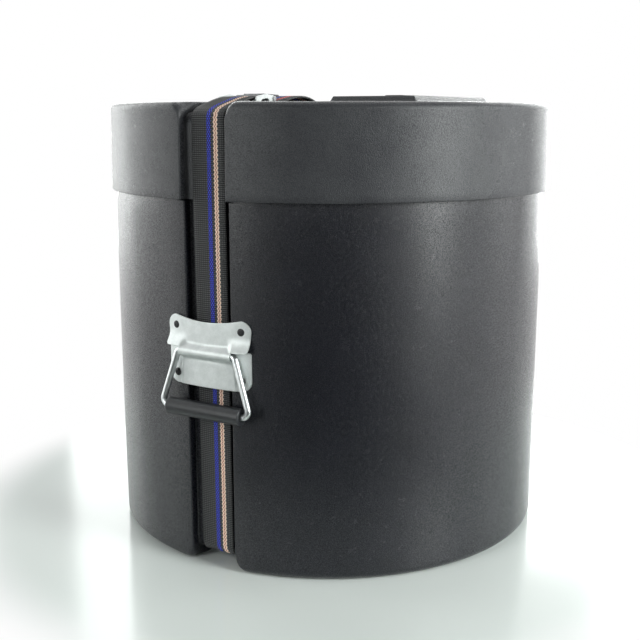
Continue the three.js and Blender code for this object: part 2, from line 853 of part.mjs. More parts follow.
function lidGroup() {
  const group = new THREE.Group();
  group.add(meshOf('lid_shell', lidShell(), blackShell()));
  group.add(meshOf('strap_front_top', frontTop(), blackWebbing()));
  group.add(meshOf('strap_rear_top', rearTop(), blackWebbing()));
  group.add(meshOf('buckle_frame', buckleFrame(), zincPlate()));
  group.add(meshOf('buckle_pin', bucklePin(), brightSteel()));
  group.add(meshOf('cam_spring', camSpring(), brightSteel()));
  const lever = meshOf('buckle_lever', buckleLever(), zincPlate());
  lever.position.set(0, pinY, pinZ);
  group.add(lever);
  return group;
}

const drumCase = new THREE.Group();
drumCase.add(bodyGroup(), handleGroup(), lidGroup());

// The handle stands out on one side only, so the case's own axis lies a little behind the origin.
drumCase.updateMatrixWorld(true);
const extent = new THREE.Box3().setFromObject(drumCase, true);
drumCase.position.y = -(extent.min.y + extent.max.y) / 2;

export default drumCase;
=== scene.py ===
# %% [markdown]
# # A moulded drum case
#
# A round black plastic case for one drum: a deep body, a lid that slides down over it, a webbing strap in a
# moulded channel right round both, a cam buckle on the lid, and a drop handle riveted across the channel.
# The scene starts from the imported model, whose nodes say where every piece is and how big it is. The pieces
# made here are the same ones, with smooth surfaces and real finishes.

# %% The frame
import math

import bmesh
import bpy
import numpy as np
from mathutils import Matrix, Vector
from mathutils.geometry import delaunay_2d_cdt


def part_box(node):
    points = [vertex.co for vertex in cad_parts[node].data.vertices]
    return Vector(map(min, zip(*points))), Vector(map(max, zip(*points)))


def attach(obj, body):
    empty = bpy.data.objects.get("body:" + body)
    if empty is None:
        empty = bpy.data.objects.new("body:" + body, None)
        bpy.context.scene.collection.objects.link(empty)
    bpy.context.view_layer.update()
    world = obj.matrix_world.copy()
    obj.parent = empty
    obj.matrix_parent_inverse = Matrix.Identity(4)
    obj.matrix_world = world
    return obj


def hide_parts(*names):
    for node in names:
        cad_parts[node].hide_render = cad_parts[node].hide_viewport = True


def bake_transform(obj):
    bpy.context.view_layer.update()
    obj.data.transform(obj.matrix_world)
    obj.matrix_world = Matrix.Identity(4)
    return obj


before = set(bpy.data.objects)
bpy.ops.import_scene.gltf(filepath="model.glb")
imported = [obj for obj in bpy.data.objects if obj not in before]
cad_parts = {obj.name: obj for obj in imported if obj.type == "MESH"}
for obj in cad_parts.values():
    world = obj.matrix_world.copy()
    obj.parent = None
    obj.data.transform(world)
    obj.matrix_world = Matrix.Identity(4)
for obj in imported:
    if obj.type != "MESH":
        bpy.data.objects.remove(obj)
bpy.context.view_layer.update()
MM = 0.001
HALF_TURN = math.pi
QUARTER = math.pi / 2

body_low, body_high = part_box("body_shell")
lid_low, lid_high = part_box("lid_shell")
AXIS_Y = (body_low.y + body_high.y) / 2
BODY_RADIUS = body_high.x
LID_RIM_RADIUS = lid_high.x
LID_RIM_Z = lid_low.z
BODY_RIM_Z = body_high.z
print(f"{len(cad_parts)} nodes, body radius {BODY_RADIUS:.4f} m, axis at y {AXIS_Y:.5f} m")

# %% [markdown]
# ## The camera
#
# The photograph is taken from just below the level of the lid's top, 30 degrees to the right of the handle,
# looking a little down. The distance and the focal length come from the case's outline in the picture. The
# case stands a little right of the middle, so the camera turns by that angle instead of being shifted.

# %% Camera
CAMERA_AZIMUTH = math.radians(30)
CAMERA_TILT = math.radians(11.6)
CAMERA_DISTANCE = 1154 * MM
CAMERA_HEIGHT = 450.5 * MM
PHOTO_SIZE = 640
FOCAL_PIXELS = 1009
CASE_AXIS_PIXEL = 330
SENSOR = 36


def link_object(name, data):
    made = bpy.data.objects.new(name, data)
    bpy.context.scene.collection.objects.link(made)
    return made


def mesh_object(name, points, edges=(), faces=()):
    mesh = bpy.data.meshes.new(name)
    mesh.from_pydata(points, edges, faces)
    return link_object(name, mesh)


camera_data = bpy.data.cameras.new("camera")
camera_data.sensor_width = SENSOR
camera_data.lens = SENSOR * FOCAL_PIXELS / PHOTO_SIZE
camera = link_object("camera", camera_data)
bpy.context.scene.camera = camera
camera.location = (
    CAMERA_DISTANCE * math.sin(CAMERA_AZIMUTH),
    AXIS_Y - CAMERA_DISTANCE * math.cos(CAMERA_AZIMUTH),
    CAMERA_HEIGHT,
)
side_step = math.atan((CASE_AXIS_PIXEL - PHOTO_SIZE / 2) / FOCAL_PIXELS)
camera.rotation_euler = (QUARTER - CAMERA_TILT, 0, CAMERA_AZIMUTH + side_step)
print(f"lens {camera_data.lens:.1f} mm")

# %% [markdown]
# ## Surfaces made of patches
#
# A moulded shell has no plain primitive in it: its wall is turned, its bottom is flat, and the strap's
# channel is pressed into both. Each of these is easy to write as a grid of points, row by row. The grids
# share the points along their common edges, so merging the doubles joins them into one closed skin.


# %% Patchwork
class Patchwork:
    """Grids of points, joined into one mesh where their edges meet."""

    def __init__(self):
        self.work = bmesh.new()

    def points(self, rows):
        return [[self.work.verts.new(point) for point in row] for row in rows]

    def grid(self, rows):
        rows = self.points(rows)
        for near, far in zip(rows, rows[1:]):
            for i in range(len(near) - 1):
                self.work.faces.new((near[i], near[i + 1], far[i + 1], far[i]))

    def to_object(self, name, finish=None, merge=2e-6, sliver=2e-6, crease=None):
        """The joined mesh, shaded smooth except over edges sharper than crease degrees."""
        work = self.work
        bmesh.ops.remove_doubles(work, verts=work.verts, dist=merge)
        bmesh.ops.dissolve_degenerate(work, edges=work.edges, dist=sliver)
        bmesh.ops.recalc_face_normals(work, faces=work.faces)
        if crease is not None:
            for edge in work.edges:
                edge.smooth = edge.calc_face_angle(0) < math.radians(crease)
        open_edges = sum(not edge.is_manifold for edge in work.edges)
        mesh = bpy.data.meshes.new(name)
        work.to_mesh(mesh)
        work.free()
        mesh.polygons.foreach_set("use_smooth", [True] * len(mesh.polygons))
        if finish is not None:
            mesh.materials.append(finish)
        print(f"{name}: {len(mesh.polygons)} faces, {open_edges} open edges")
        return link_object(name, mesh)


def spread(start, end, count):
    return [start + (end - start) * i / count for i in range(count + 1)]


def clamp(value):
    return min(max(value, 0), 1)


def eased(value, low, high):
    """0 below low, 1 above high, smooth between."""
    share = clamp((value - low) / (high - low))
    return share * share * (3 - 2 * share)


# %% [markdown]
# ## One skin of a shell
#
# Body and lid are the same shape turned over: a flat face, a rounded edge, a round wall, and a channel that
# crosses the flat face and runs down both sides. A skin is described by its distance from the flat face, so
# one description serves the body standing up and the lid lying over it. The channel's floor is the outline of
# an inner core with round corners, and a line from a core corner's centre joins each point of the outer
# outline to its own point of the floor.

# %% Skin of a shell
EDGE_STEPS = 6
RING_STEPS = 96
CORNER_DOWN = 1.5
CORNER_IN = 1.95
EDGE_SHARE = 0.7
CORNER_SHARE = 0.45
LEAD_SHARE = 0.15
FLOOR_SHARES = (0.6, 0.3, 0)


def rounded(start, corner, end, weight=math.cos(QUARTER / 2), steps=EDGE_STEPS):
    """Points of a round edge from start to end, with the tangents meeting in the corner."""
    found = []
    for t in spread(0, 1, steps):
        a, b, c = (1 - t) ** 2, 2 * weight * t * (1 - t), t * t
        found.append(tuple((a * p + b * q + c * r) / (a + b + c) for p, q, r in zip(start, corner, end)))
    return found


class Skin:
    """One side of a shell. Depths are measured from the flat face's plane into the shell.

    The flat face ends in an edge of radius bend, and the wall in a rim of radius rim_round. The core is the
    channel's floor. edge_round and corner_round are the radii of the channel's upper and lower edges, and
    corner is the upper edge's radius where the channel turns from the flat face to the wall.
    """

    notch = None

    def __init__(self, **sizes):
        for name, value in sizes.items():
            setattr(self, name, value)

    def raised(self, x, y):
        return 0

    def wave(self, x, y, depth):
        return (0, 0)

    def rings(self, levels):
        """(radius, depth) of each ring, from the rim to the edge of the flat face."""
        found = []
        for angle in spread(QUARTER, 0, EDGE_STEPS // 2):
            depth = self.rim - self.rim_round * (1 - math.sin(angle))
            found.append((self.radius(depth) - self.rim_round * (1 - math.cos(angle)), depth))
        top = self.flat + self.bend
        found += [(self.radius(depth), depth) for depth in levels if top < depth < self.rim - self.rim_round]
        for angle in spread(0, QUARTER, EDGE_STEPS):
            depth = top - self.bend * math.sin(angle)
            found.append((self.radius(top) - self.bend * (1 - math.cos(angle)), depth))
        return found

    def core_point(self, y, depth):
        """The point of the channel's floor that belongs to a point of the outer outline."""
        side = math.copysign(1, y)
        centre_y = self.core_y - self.core_bend
        centre_depth = self.core_depth + self.core_bend
        if depth >= centre_depth:
            return side * self.core_y, depth
        if abs(y) <= centre_y:
            return y, self.core_depth
        angle = math.atan2(depth - centre_depth, abs(y) - centre_y)
        out = centre_y + self.core_bend * math.cos(angle)
        return side * out, centre_depth + self.core_bend * math.sin(angle)

    def edge_softness(self, out, depth):
        """The radius of the channel's edge, larger where it turns from the wall to the flat face."""
        below = clamp(1 - (depth - self.flat) / (CORNER_DOWN * self.corner))
        inward = clamp(1 - (self.radius(self.flat) - self.bend - out) / (CORNER_IN * self.corner))
        return self.edge_round + (self.corner - self.edge_round) * eased(below * inward, 0, 1)

    def edge_x(self, out, depth):
        return self.half_width(depth) + self.edge_softness(out, depth)

    def ring_start(self, radius, depth):
        """The angle from the channel's middle at which a ring starts."""
        return math.asin(self.edge_x(radius, depth) / radius)

    def cross_profile(self, place):
        """The channel's half section, from the outer surface to its middle. place(x) gives (y, depth)."""
        middle = place(0)
        wide = self.half_width(middle[1])
        soft = self.edge_softness(abs(middle[0]), middle[1])
        y0, depth0 = place(wide + soft)
        y1, depth1 = place(wide)
        core_y, core_depth = self.core_point(y1, depth1)
        fall = math.hypot(core_y - y1, core_depth - depth1)
        along = ((core_y - y1) / fall, (core_depth - depth1) / fall)
        first = min(soft, fall * EDGE_SHARE)
        last = min(self.corner_round, fall * CORNER_SHARE)

        def wall(down, x=wide):
            return (x, y1 + along[0] * down, depth1 + along[1] * down)

        lead = LEAD_SHARE * (fall - first - last)
        points = rounded((wide + soft, y0, depth0), wall(0), wall(first))
        points += [wall(first + lead), wall((fall + first - last) / 2), wall(fall - last - lead)]
        above = len(points)
        points += rounded(wall(fall - last), wall(fall), wall(fall, wide - last))
        floor = [wide - last - MM] + [wide * share for share in FLOOR_SHARES]
        points += [(x, core_y, core_depth) for x in floor]
        if self.notch is not None:
            points[above:] = [(x, y, min(depth, self.notch)) for x, y, depth in points[above:]]
        return points

    def mended(self, point, flip):
        """A point with the moulding's slight waves, on the side of the channel that flip says."""
        x, y, depth = point
        out, down = self.wave(flip * x, y, depth)
        radius = max(math.hypot(x, y), MM)
        return (flip * (x + out * x / radius), y + out * y / radius, depth + down)


# %% [markdown]
# A shell is two skins and the lip that joins them at the rim. Each skin has a strip along the channel, a
# wall of rings and a flat face of rows on each side. The rows end on the last ring's own points, so the round
# edge runs into the flat face without a seam.

# %% Shell
WALL_STEPS = 8
LONG_ROW = (6 * MM, 40 * MM)


def ring_points(skin, ring, turns):
    radius, depth = ring
    start = skin.ring_start(radius, depth)
    angles = [start + (HALF_TURN - 2 * start) * turn for turn in turns]
    return [(radius * math.sin(angle), -radius * math.cos(angle), depth) for angle in angles]


def on_ring(ring, side):
    radius, depth = ring
    return lambda x: (side * math.sqrt(radius * radius - x * x), depth)


def turn_of(skin, y):
    """The share of the last ring's arc at which the row at y starts."""
    radius, depth = skin.rings([])[-1]
    start = skin.ring_start(radius, depth)
    return (math.acos(-y / radius) - start) / (HALF_TURN - 2 * start)


def row_points(skin, start, end, columns, flip):
    """A row of the flat face from the channel's edge to the wall. Long rows keep the columns' places."""
    even = spread(start, end[0], len(columns) + WALL_STEPS - 1)
    last = columns[-1]
    share = eased(end[0] - last, *LONG_ROW)
    kept = [start] + list(columns[1:]) + spread(last, end[0], WALL_STEPS)[1:]
    xs = [e + (k - e) * share for e, k in zip(even, kept)]
    return [(x, end[1], end[2] - skin.raised(flip * x, end[1])) for x in xs]


def skin_patches(patches, skin, levels, turns, columns, to_world, flip):
    """Adds one side's patches, and returns the points along the rim, front to rear."""
    rings = skin.rings(levels)
    arcs = [ring_points(skin, ring, turns) for ring in rings]
    last = arcs[-1]
    places = [on_ring(ring, -1) for ring in rings]
    places += [lambda x, y=point[1]: (y, skin.flat) for point in last[1:-1]]
    places += [on_ring(ring, 1) for ring in reversed(rings)]
    strip = [skin.cross_profile(place) for place in places]
    starts = [skin.edge_x(abs(point[1]), skin.flat) for point in last]
    starts[0], starts[-1] = last[0][0], last[-1][0]
    rows = [row_points(skin, start, point, columns, flip) for start, point in zip(starts, last)]

    def finish(points):
        return [to_world(skin.mended(point, flip)) for point in points]

    for patch in (strip, arcs, rows):
        patches.grid([finish(row) for row in patch])
    return finish(list(reversed(strip[0])) + arcs[0][1:-1] + strip[-1])


def shell(name, skins, levels, turns, columns, to_world):
    patches = Patchwork()
    for flip in (1, -1):
        patches.grid([skin_patches(patches, skin, levels, turns, columns, to_world, flip) for skin in skins])
    return patches.to_object(name)


# %% [markdown]
# ## The body
#
# The body is rotationally moulded polyethylene, about 4 mm thick, with soft edges where the strap's channel
# is pressed in. Above the lid's rim its channel widens to a neck that the lid's own channel slides into. A
# moulding is never quite true: the wall ripples by a few tenths of a millimetre, and one side has swollen.

# %% Sizes of both shells
CASE_HEIGHT = 461 * MM
WALL = 4 * MM
CHANNEL_HALF = 26 * MM
CHANNEL_DEPTH = 11 * MM
CHANNEL_BEND = 12 * MM
BASE_EDGE = 8 * MM
LID_EDGE = 7 * MM
LID_FLARE = 1.5 * MM
NECK_HALF = 32 * MM
NECK_Z = 369 * MM
BODY_FLOOR_Y = BODY_RADIUS - CHANNEL_DEPTH
LID_FLOOR_Y = BODY_FLOOR_Y + 5.5 * MM
LID_GAP = 0.3 * MM
NOTCH_Z = CASE_HEIGHT - CHANNEL_DEPTH - WALL - LID_GAP
LID_DEPTH = CASE_HEIGHT - LID_RIM_Z
SOFT_EDGE = 1.5 * MM
SOFT_CORNER = 1.8 * MM
ROUND_CORNER = 11 * MM
STIFF = (52 * MM, 110 * MM)
# Size, waves round the wall, share of the seed and waves up the wall of each ripple.
RIPPLES = ((0.5, 3, 1, 0), (0.3, 7, 2, 9), (0.2, 13, -1, 31))


def outer_skin(**sizes):
    return Skin(
        flat=0, core_depth=CHANNEL_DEPTH, core_bend=CHANNEL_BEND, edge_round=SOFT_EDGE, corner=ROUND_CORNER,
        corner_round=SOFT_CORNER, **sizes,
    )


def inner_skin(outer, **sizes):
    """The inside of a shell, a wall's thickness in from its outer skin."""
    return Skin(
        flat=outer.flat + WALL, bend=outer.bend - WALL, radius=lambda depth: outer.radius(depth) - WALL,
        rim=outer.rim, core_y=outer.core_y - WALL, core_depth=outer.core_depth + WALL,
        core_bend=outer.core_bend - WALL, half_width=lambda depth: outer.half_width(depth + WALL) + WALL,
        edge_round=SOFT_EDGE / 2, corner=SOFT_EDGE / 2, corner_round=SOFT_CORNER + WALL / 2,
        notch=outer.notch, **sizes,
    )


def ripple(x, y, depth, seed):
    """A slow, smooth unevenness between -1 and 1."""
    angle = math.atan2(x, -y)
    return sum(
        size * math.sin(turns * angle + shift * seed + climb * depth) for size, turns, shift, climb in RIPPLES
    )


def away_from_channel(x):
    """The channel stiffens the moulding beside it, so the waves start further out."""
    return eased(abs(x), *STIFF)


# %% Body shell
SWOLLEN_SIDE = math.radians(-60)
SWOLLEN = 3.2 * MM
BODY_PROUD = 0.5 * MM
BODY_RIPPLE = 0.35 * MM
BODY_SEED = 1.7
BELLY = 0.3
BODY_ROWS = 46
BODY_COLUMNS = 12


def body_wave(x, y, depth):
    below_lid = eased(LID_RIM_Z - depth, 0, 14 * MM)
    swelling = max(math.cos(math.atan2(x, -y) - SWOLLEN_SIDE), 0)
    belly = 1 - BELLY + BELLY * math.sin(HALF_TURN * min(depth / LID_RIM_Z, 1))
    out = BODY_PROUD + SWOLLEN * swelling * belly + BODY_RIPPLE * ripple(x, y, depth, BODY_SEED)
    return (out * below_lid * away_from_channel(x) * eased(depth, 0, BASE_EDGE), 0)


body_outer = outer_skin(
    bend=BASE_EDGE, radius=lambda depth: BODY_RADIUS, rim=BODY_RIM_Z, rim_round=LID_EDGE - WALL,
    core_y=BODY_FLOOR_Y, half_width=lambda depth: CHANNEL_HALF if depth < NECK_Z else NECK_HALF,
    notch=NOTCH_Z, wave=body_wave,
)
body_skins = (body_outer, inner_skin(body_outer, rim_round=0.3 * MM))
ledge = [z + side * 0.1 * MM for z in (NECK_Z - WALL, NECK_Z) for side in (-1, 1)]
body_levels = sorted(ledge + spread(BODY_RIM_Z, 0, BODY_ROWS), reverse=True)
even_turns = spread(0, 1, RING_STEPS)
body_columns = spread(CHANNEL_HALF + SOFT_EDGE, 0.7 * BODY_RADIUS, BODY_COLUMNS)
body_skin = shell(
    "body_skin", body_skins, body_levels, even_turns, body_columns,
    lambda point: (point[0], point[1] + AXIS_Y, point[2]),
)

# %% [markdown]
# ## The lid
#
# The lid is the same kind of shell turned over, a little wider at its rim than at its top. Beside the
# channel it carries a raised panel with a blank pad on it, where a name could go. The panel is part of the
# moulding, so the rows of the flat face simply rise there, and extra rows and columns are laid on its slopes.

# %% Raised panel
# Half sizes, corner radius, width of the slope and height, of the panel and of the pad on it.
PANEL_X = 101 * MM
PANEL = ((49 * MM, 95.5 * MM), 4 * MM, 4.5 * MM, 6 * MM)
PAD = ((11 * MM, 46 * MM), 2 * MM, 1 * MM, 1.5 * MM)
SLOPE_SHARES = (-0.15, 0, 0.12, 0.3, 0.5, 0.7, 0.88, 1, 1.15)
STRAIGHT = 0.45


def rise(x, y, block, inset=0):
    """The height of a flat-topped block with sloping sides and round corners, centred on the panel."""
    half, corner, slope, height = block
    across = abs(x - PANEL_X) - (half[0] - inset - corner)
    along = abs(y) - (half[1] - inset - corner)
    outside = math.hypot(max(across, 0), max(along, 0)) + min(max(across, along), 0) - corner
    share = clamp(-outside / slope)
    return height * (STRAIGHT * share + (1 - STRAIGHT) * eased(share, 0, 1))


def slope_marks(axis):
    """Distances from the panel's middle at which the rise needs rows, from outside each slope to its top."""
    found = []
    for half, corner, slope, _ in (PANEL, PAD):
        found += [half[axis] - slope * share for share in SLOPE_SHARES] + [half[axis] - slope - corner]
    return found


# %% Lid shell
LID_PROUD = 0.8 * MM
LID_RIPPLE = 0.3 * MM
LID_SAG = 0.35 * MM
LID_SEED = 4.1
SAG_SEED = 2.6
SAG_FROM = 190 * MM
SAG_REACH = 40 * MM
LID_ROWS = 12


def lid_radius(depth):
    share = (depth - LID_EDGE) / (LID_DEPTH - LID_EDGE)
    return LID_RIM_RADIUS - LID_FLARE * (1 - share)


def lid_wave(x, y, depth):
    shade = away_from_channel(x)
    near_edge = clamp((math.hypot(x, y) - SAG_FROM) / SAG_REACH)
    sag = LID_SAG * (ripple(x, y, 0, SAG_SEED) + 1) * near_edge * clamp(1 - depth / LID_DEPTH)
    return ((LID_PROUD + LID_RIPPLE * ripple(x, y, depth, LID_SEED)) * shade, sag * shade)


lid_outer = outer_skin(
    bend=LID_EDGE, radius=lid_radius, rim=LID_DEPTH, rim_round=1 * MM, core_y=LID_FLOOR_Y,
    half_width=lambda depth: CHANNEL_HALF, wave=lid_wave,
    raised=lambda x, y: rise(x, y, PANEL) + rise(x, y, PAD),
)
lid_inner = inner_skin(lid_outer, rim_round=0.6 * MM, raised=lambda x, y: rise(x, y, PANEL, inset=WALL))
panel_turns = [turn_of(lid_outer, side * y) for y in slope_marks(1) for side in (-1, 1)]
panel_columns = [PANEL_X + side * x for x in slope_marks(0) for side in (-1, 1)]
lid_skin = shell(
    "lid_skin", (lid_outer, lid_inner), spread(LID_DEPTH, 0, LID_ROWS),
    sorted(set(even_turns + panel_turns)), sorted([CHANNEL_HALF + SOFT_EDGE] + panel_columns),
    lambda point: (point[0], point[1] + AXIS_Y, CASE_HEIGHT - point[2]),
)

# %% [markdown]
# ## Calculating with nodes
#
# Finishes and Geometry Nodes trees are both graphs of nodes. A small class stands for one output of such a
# graph, so a pattern is written as an expression, and every other kind of node comes from one method.


# %% Node values
class Value:
    """An output of a node tree that can be calculated with like a number."""

    def __init__(self, tree, socket=None):
        self.tree = tree
        self.socket = socket

    def node(self, kind, inputs=None, output=0, **settings):
        """A new node with these inputs, each a value or a link, and these settings of its own."""
        made = self.tree.nodes.new(kind)
        for key, value in settings.items():
            setattr(made, key, value)
        for key, value in (inputs or {}).items():
            if isinstance(value, Value):
                self.tree.links.new(value.socket, made.inputs[key])
            else:
                made.inputs[key].default_value = value
        return Value(self.tree, made.outputs[output]) if made.outputs else None

    def output(self, which):
        """Another output of the same node."""
        return Value(self.tree, self.socket.node.outputs[which])

    def math(self, operation, *others):
        return self.node("ShaderNodeMath", dict(enumerate((self, *others))), operation=operation)

    def reflected(self, operation, first):
        return self.node("ShaderNodeMath", {0: first, 1: self}, operation=operation)

    def __add__(self, other):
        return self.math("ADD", other)

    def __sub__(self, other):
        return self.math("SUBTRACT", other)

    def __mul__(self, other):
        return self.math("MULTIPLY", other)

    def __rsub__(self, first):
        return self.reflected("SUBTRACT", first)

    def __rtruediv__(self, first):
        return self.reflected("DIVIDE", first)

    __radd__ = __add__
    __rmul__ = __mul__

    def wave(self, pitch):
        """A cosine of this length, between 0 and 1, once every pitch."""
        return (self * (2 * HALF_TURN / pitch)).math("COSINE") * 0.5 + 0.5

    def step(self, low, high):
        """0 below low, 1 above high, smooth between."""
        inputs = {"Value": self, "From Min": low, "From Max": high}
        return self.node("ShaderNodeMapRange", inputs, interpolation_type="SMOOTHSTEP")

    def mix(self, low, high):
        """A colour between low and high."""
        return self.node("ShaderNodeMix", {0: self, 6: low, 7: high}, 2, data_type="RGBA")

    def vector(self, operation, *others):
        return self.node("ShaderNodeVectorMath", dict(enumerate((self, *others))), operation=operation)

    def noise(self, size, detail=3, roughness=0.5):
        """Noise on this vector, with features of this size in metres."""
        inputs = {"Vector": self, "Scale": 1 / size, "Detail": detail, "Roughness": roughness}
        return self.node("ShaderNodeTexNoise", inputs)

    def bump(self, height, under=None):
        """The surface normal over this relief, whose full range is height in metres."""
        inputs = {"Height": self, "Distance": height, "Strength": 1}
        if under is not None:
            inputs["Normal"] = under
        return self.node("ShaderNodeBump", inputs)


def new_finish(name):
    """A new material, a start for its nodes and the place on the object."""
    material = bpy.data.materials.new(name)
    material.use_nodes = True
    material.node_tree.nodes.clear()
    start = Value(material.node_tree)
    return material, start, start.node("ShaderNodeTexCoord", output=3)


def settle(start, sockets):
    """Ends a finish: a Principled shader with these values and links on its sockets."""
    shader = start.node("ShaderNodeBsdfPrincipled", sockets)
    start.node("ShaderNodeOutputMaterial", {"Surface": shader})


# %% [markdown]
# ## Moulded polyethylene
#
# The mould's pebbled grain is about a millimetre across and very shallow. Handling polishes the tops of the
# pebbles, so the grain shows less as relief than as gloss: the same noise carries a clear coat on the tops
# and a slight bump. Dust and scuffs show in the roughness and in a faint change of colour. Seen along the
# surface the pebbles hide each other's flanks, so the plastic looks smoother towards its outline.


# %% Shell finishes
def shell_finish(name, dark, light, dull, gloss):
    material, start, where = new_finish(name)
    pebble = where.noise(0.95 * MM, 2, 0.7)
    cloud = where.noise(38 * MM, 4, 0.6)
    wander = where.noise(70 * MM, 1, 0.4)
    scuff = where.noise(14 * MM, 6, 0.7).step(0.56, 0.72)
    marks = where.vector("MULTIPLY", (1, 1, 0.15)).noise(2.5 * MM, 3, 0.6).step(0.68, 0.75)
    edge_on = start.node("ShaderNodeLayerWeight", {"Blend": 0.5}, output=1)
    worn = 0.08 * cloud + 0.06 * scuff + 0.05 * pebble + 0.04 * marks
    settle(start, {
        "Base Color": (cloud * 0.6 + pebble * 0.4).step(0.3, 0.7).mix(dark, light),
        "Roughness": dull + worn - 0.12 * edge_on,
        "Specular IOR Level": 0.3 * gloss,
        "Coat Weight": gloss * pebble.step(0.32, 0.68),
        "Coat Roughness": dull + 0.15,
        "Sheen Weight": 0.1,
        "Sheen Roughness": 0.3,
        "Normal": pebble.bump(0.5 * MM, wander.bump(1.0 * MM)),
    })
    return material


# Body and lid are the same black polyethylene. The lid's colour is several times lighter than the body's:
# painted light, standing in for the brighter light that falls on the top of the case.
body_finish = shell_finish("moulded_body", (0.0040, 0.0045, 0.0080, 1), (0.0085, 0.0090, 0.0140, 1), 0.19, 1)
lid_finish = shell_finish("moulded_lid", (0.027, 0.028, 0.033, 1), (0.045, 0.047, 0.051, 1), 0.25, 0.85)


# %% Shells on their bodies
def place_piece(piece, body, slot, *replaced):
    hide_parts(*replaced)
    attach(piece, body)


body_skin.data.materials.append(body_finish)
place_piece(body_skin, "case_body", "moulded_shell", "body_shell")
lid_skin.data.materials.append(lid_finish)
place_piece(lid_skin, "lid", "moulded_shell", "lid_shell")

# %% [markdown]
# ## The webbing
#
# One length of woven webbing goes from its sewn end at the buckle's bar down the front, under the base, up
# the back and over the lid to the buckle, and comes back as a loose tail. Its middle line is a path in one
# plane. Geometry Nodes sweep the flat section along that path and press in a rib every two millimetres.

# %% Path of the strap
STRAP_WIDTH = 38 * MM
STRAP_THICK = 1.6 * MM
LAYER = 1.1 * MM
SEWN_GAP = 0.15 * MM
SEWN_SPAN = (-214 * MM, -189 * MM)
LOOP_BAR = (-176.65 * MM, 461.9 * MM)
LEVER_PIN = (-150 * MM, 464 * MM)
ANVIL = (-152 * MM, 455.2 * MM)
WRAP = 3.3 * MM
SIDE_Y = LID_FLOOR_Y + LAYER
CORNER = CHANNEL_BEND + LAYER
BASE_CORNER_Y = BODY_FLOOR_Y - CHANNEL_BEND
BASE_CORNER_Z = CHANNEL_DEPTH + CHANNEL_BEND
LID_FLOOR_Z = CASE_HEIGHT - CHANNEL_DEPTH


def in_metres(rows):
    return [tuple(value * MM for value in row) for row in rows]


def arc(centre, radius, first, last, steps=24):
    """Points of an arc in one plane, from one angle in degrees to another."""
    angles = spread(math.radians(first), math.radians(last), steps)
    return [(centre[0] + radius * math.cos(a), centre[1] + radius * math.sin(a)) for a in angles]


def bezier(a, b, c, d, steps=24):
    found = []
    for t in spread(0, 1, steps):
        weights = ((1 - t) ** 3, 3 * t * (1 - t) ** 2, 3 * t * t * (1 - t), t ** 3)
        found.append(tuple(sum(w * p[i] for w, p in zip(weights, (a, b, c, d))) for i in range(2)))
    return found


def through(points, steps=12):
    """A smooth line through points."""
    ends = [points[0]] + list(points) + [points[-1]]
    found = []
    for p, q, r, s in zip(ends, ends[1:], ends[2:], ends[3:]):
        first = tuple(q[i] + (r[i] - p[i]) / 6 for i in range(2))
        second = tuple(r[i] - (s[i] - q[i]) / 6 for i in range(2))
        found += bezier(q, first, second, r, steps)[:-1]
    return found + [points[-1]]


rise_z = LID_RIM_Z - BASE_CORNER_Z
reach_y = SIDE_Y - BASE_CORNER_Y
taut = math.degrees(math.atan2(rise_z, reach_y) - math.acos(CORNER / math.hypot(rise_z, reach_y)))
over_lid = in_metres([(-190, 463.3), (-203, 460.4), (-216, 457.3), (-225.5, 453.9), (-230.2, 449.3)])
arch = through([(LOOP_BAR[0], LOOP_BAR[1] + WRAP)] + over_lid + [(-SIDE_Y, 442 * MM)])
sewn_end = [(y, z - STRAP_THICK - SEWN_GAP) for y, z in reversed(arch) if SEWN_SPAN[0] < y < SEWN_SPAN[1]]
under_z = sewn_end[-1][1] + 0.6 * MM
sewn_z = LOOP_BAR[1] - WRAP
front_base = [(-y, z) for y, z in arc((BASE_CORNER_Y, BASE_CORNER_Z), CORNER, taut, -90)]
rear_base = [(-y, z) for y, z in reversed(front_base)]
tail_z = LID_FLOOR_Z + LAYER + STRAP_THICK + 0.3 * MM
hump = in_metres([(-124, 462.4), (-97, 466.5), (-77, 465.6), (-60, 461), (-44, 456)])
strap_path = (
    sewn_end
    + bezier(sewn_end[-1], (-186.5 * MM, under_z), (-184 * MM, sewn_z), (LOOP_BAR[0], sewn_z))[1:]
    + arc(LOOP_BAR, WRAP, -90, 90)[1:]
    + arch[1:]
    + [(-SIDE_Y, LID_RIM_Z)]
    + front_base
    + rear_base
    + [(SIDE_Y, LID_RIM_Z)]
    + arc((LID_FLOOR_Y - CHANNEL_BEND, LID_FLOOR_Z - CHANNEL_BEND), CORNER, 0, 90)
    + [(-98 * MM, LID_FLOOR_Z + LAYER)]
    + arc(ANVIL, WRAP, 270, 90)
    + through([(-148.7 * MM, ANVIL[1] + WRAP)] + hump + [(-24 * MM, tail_z)])
    + [(100 * MM, tail_z)]
)
strap_length = sum(math.dist(p, q) for p, q in zip(strap_path, strap_path[1:]))
print(f"webbing {strap_length:.3f} m long")

# %% Lean of the strap
# Heights and the strap's lean at each, in millimetres.
LEAN_HEIGHTS = (20, 55, 105, 150, 310, 370, 450)
LEANS = (0.2, 0.4, 0.9, 1.4, 2.0, 2.3, 2.5)


def strap_lean(y, z):
    """How far the strap has slipped sideways in its channel down the front, as the photograph shows."""
    slip = np.interp(z / MM, LEAN_HEIGHTS, LEANS) * MM
    return float(slip * eased(-y, -LOOP_BAR[0], -LOOP_BAR[0] + 40 * MM))


# %% Trees that grow pieces
def line_object(name, points, closed=False):
    count = len(points)
    return mesh_object(name, points, [(i, (i + 1) % count) for i in range(count if closed else count - 1)])


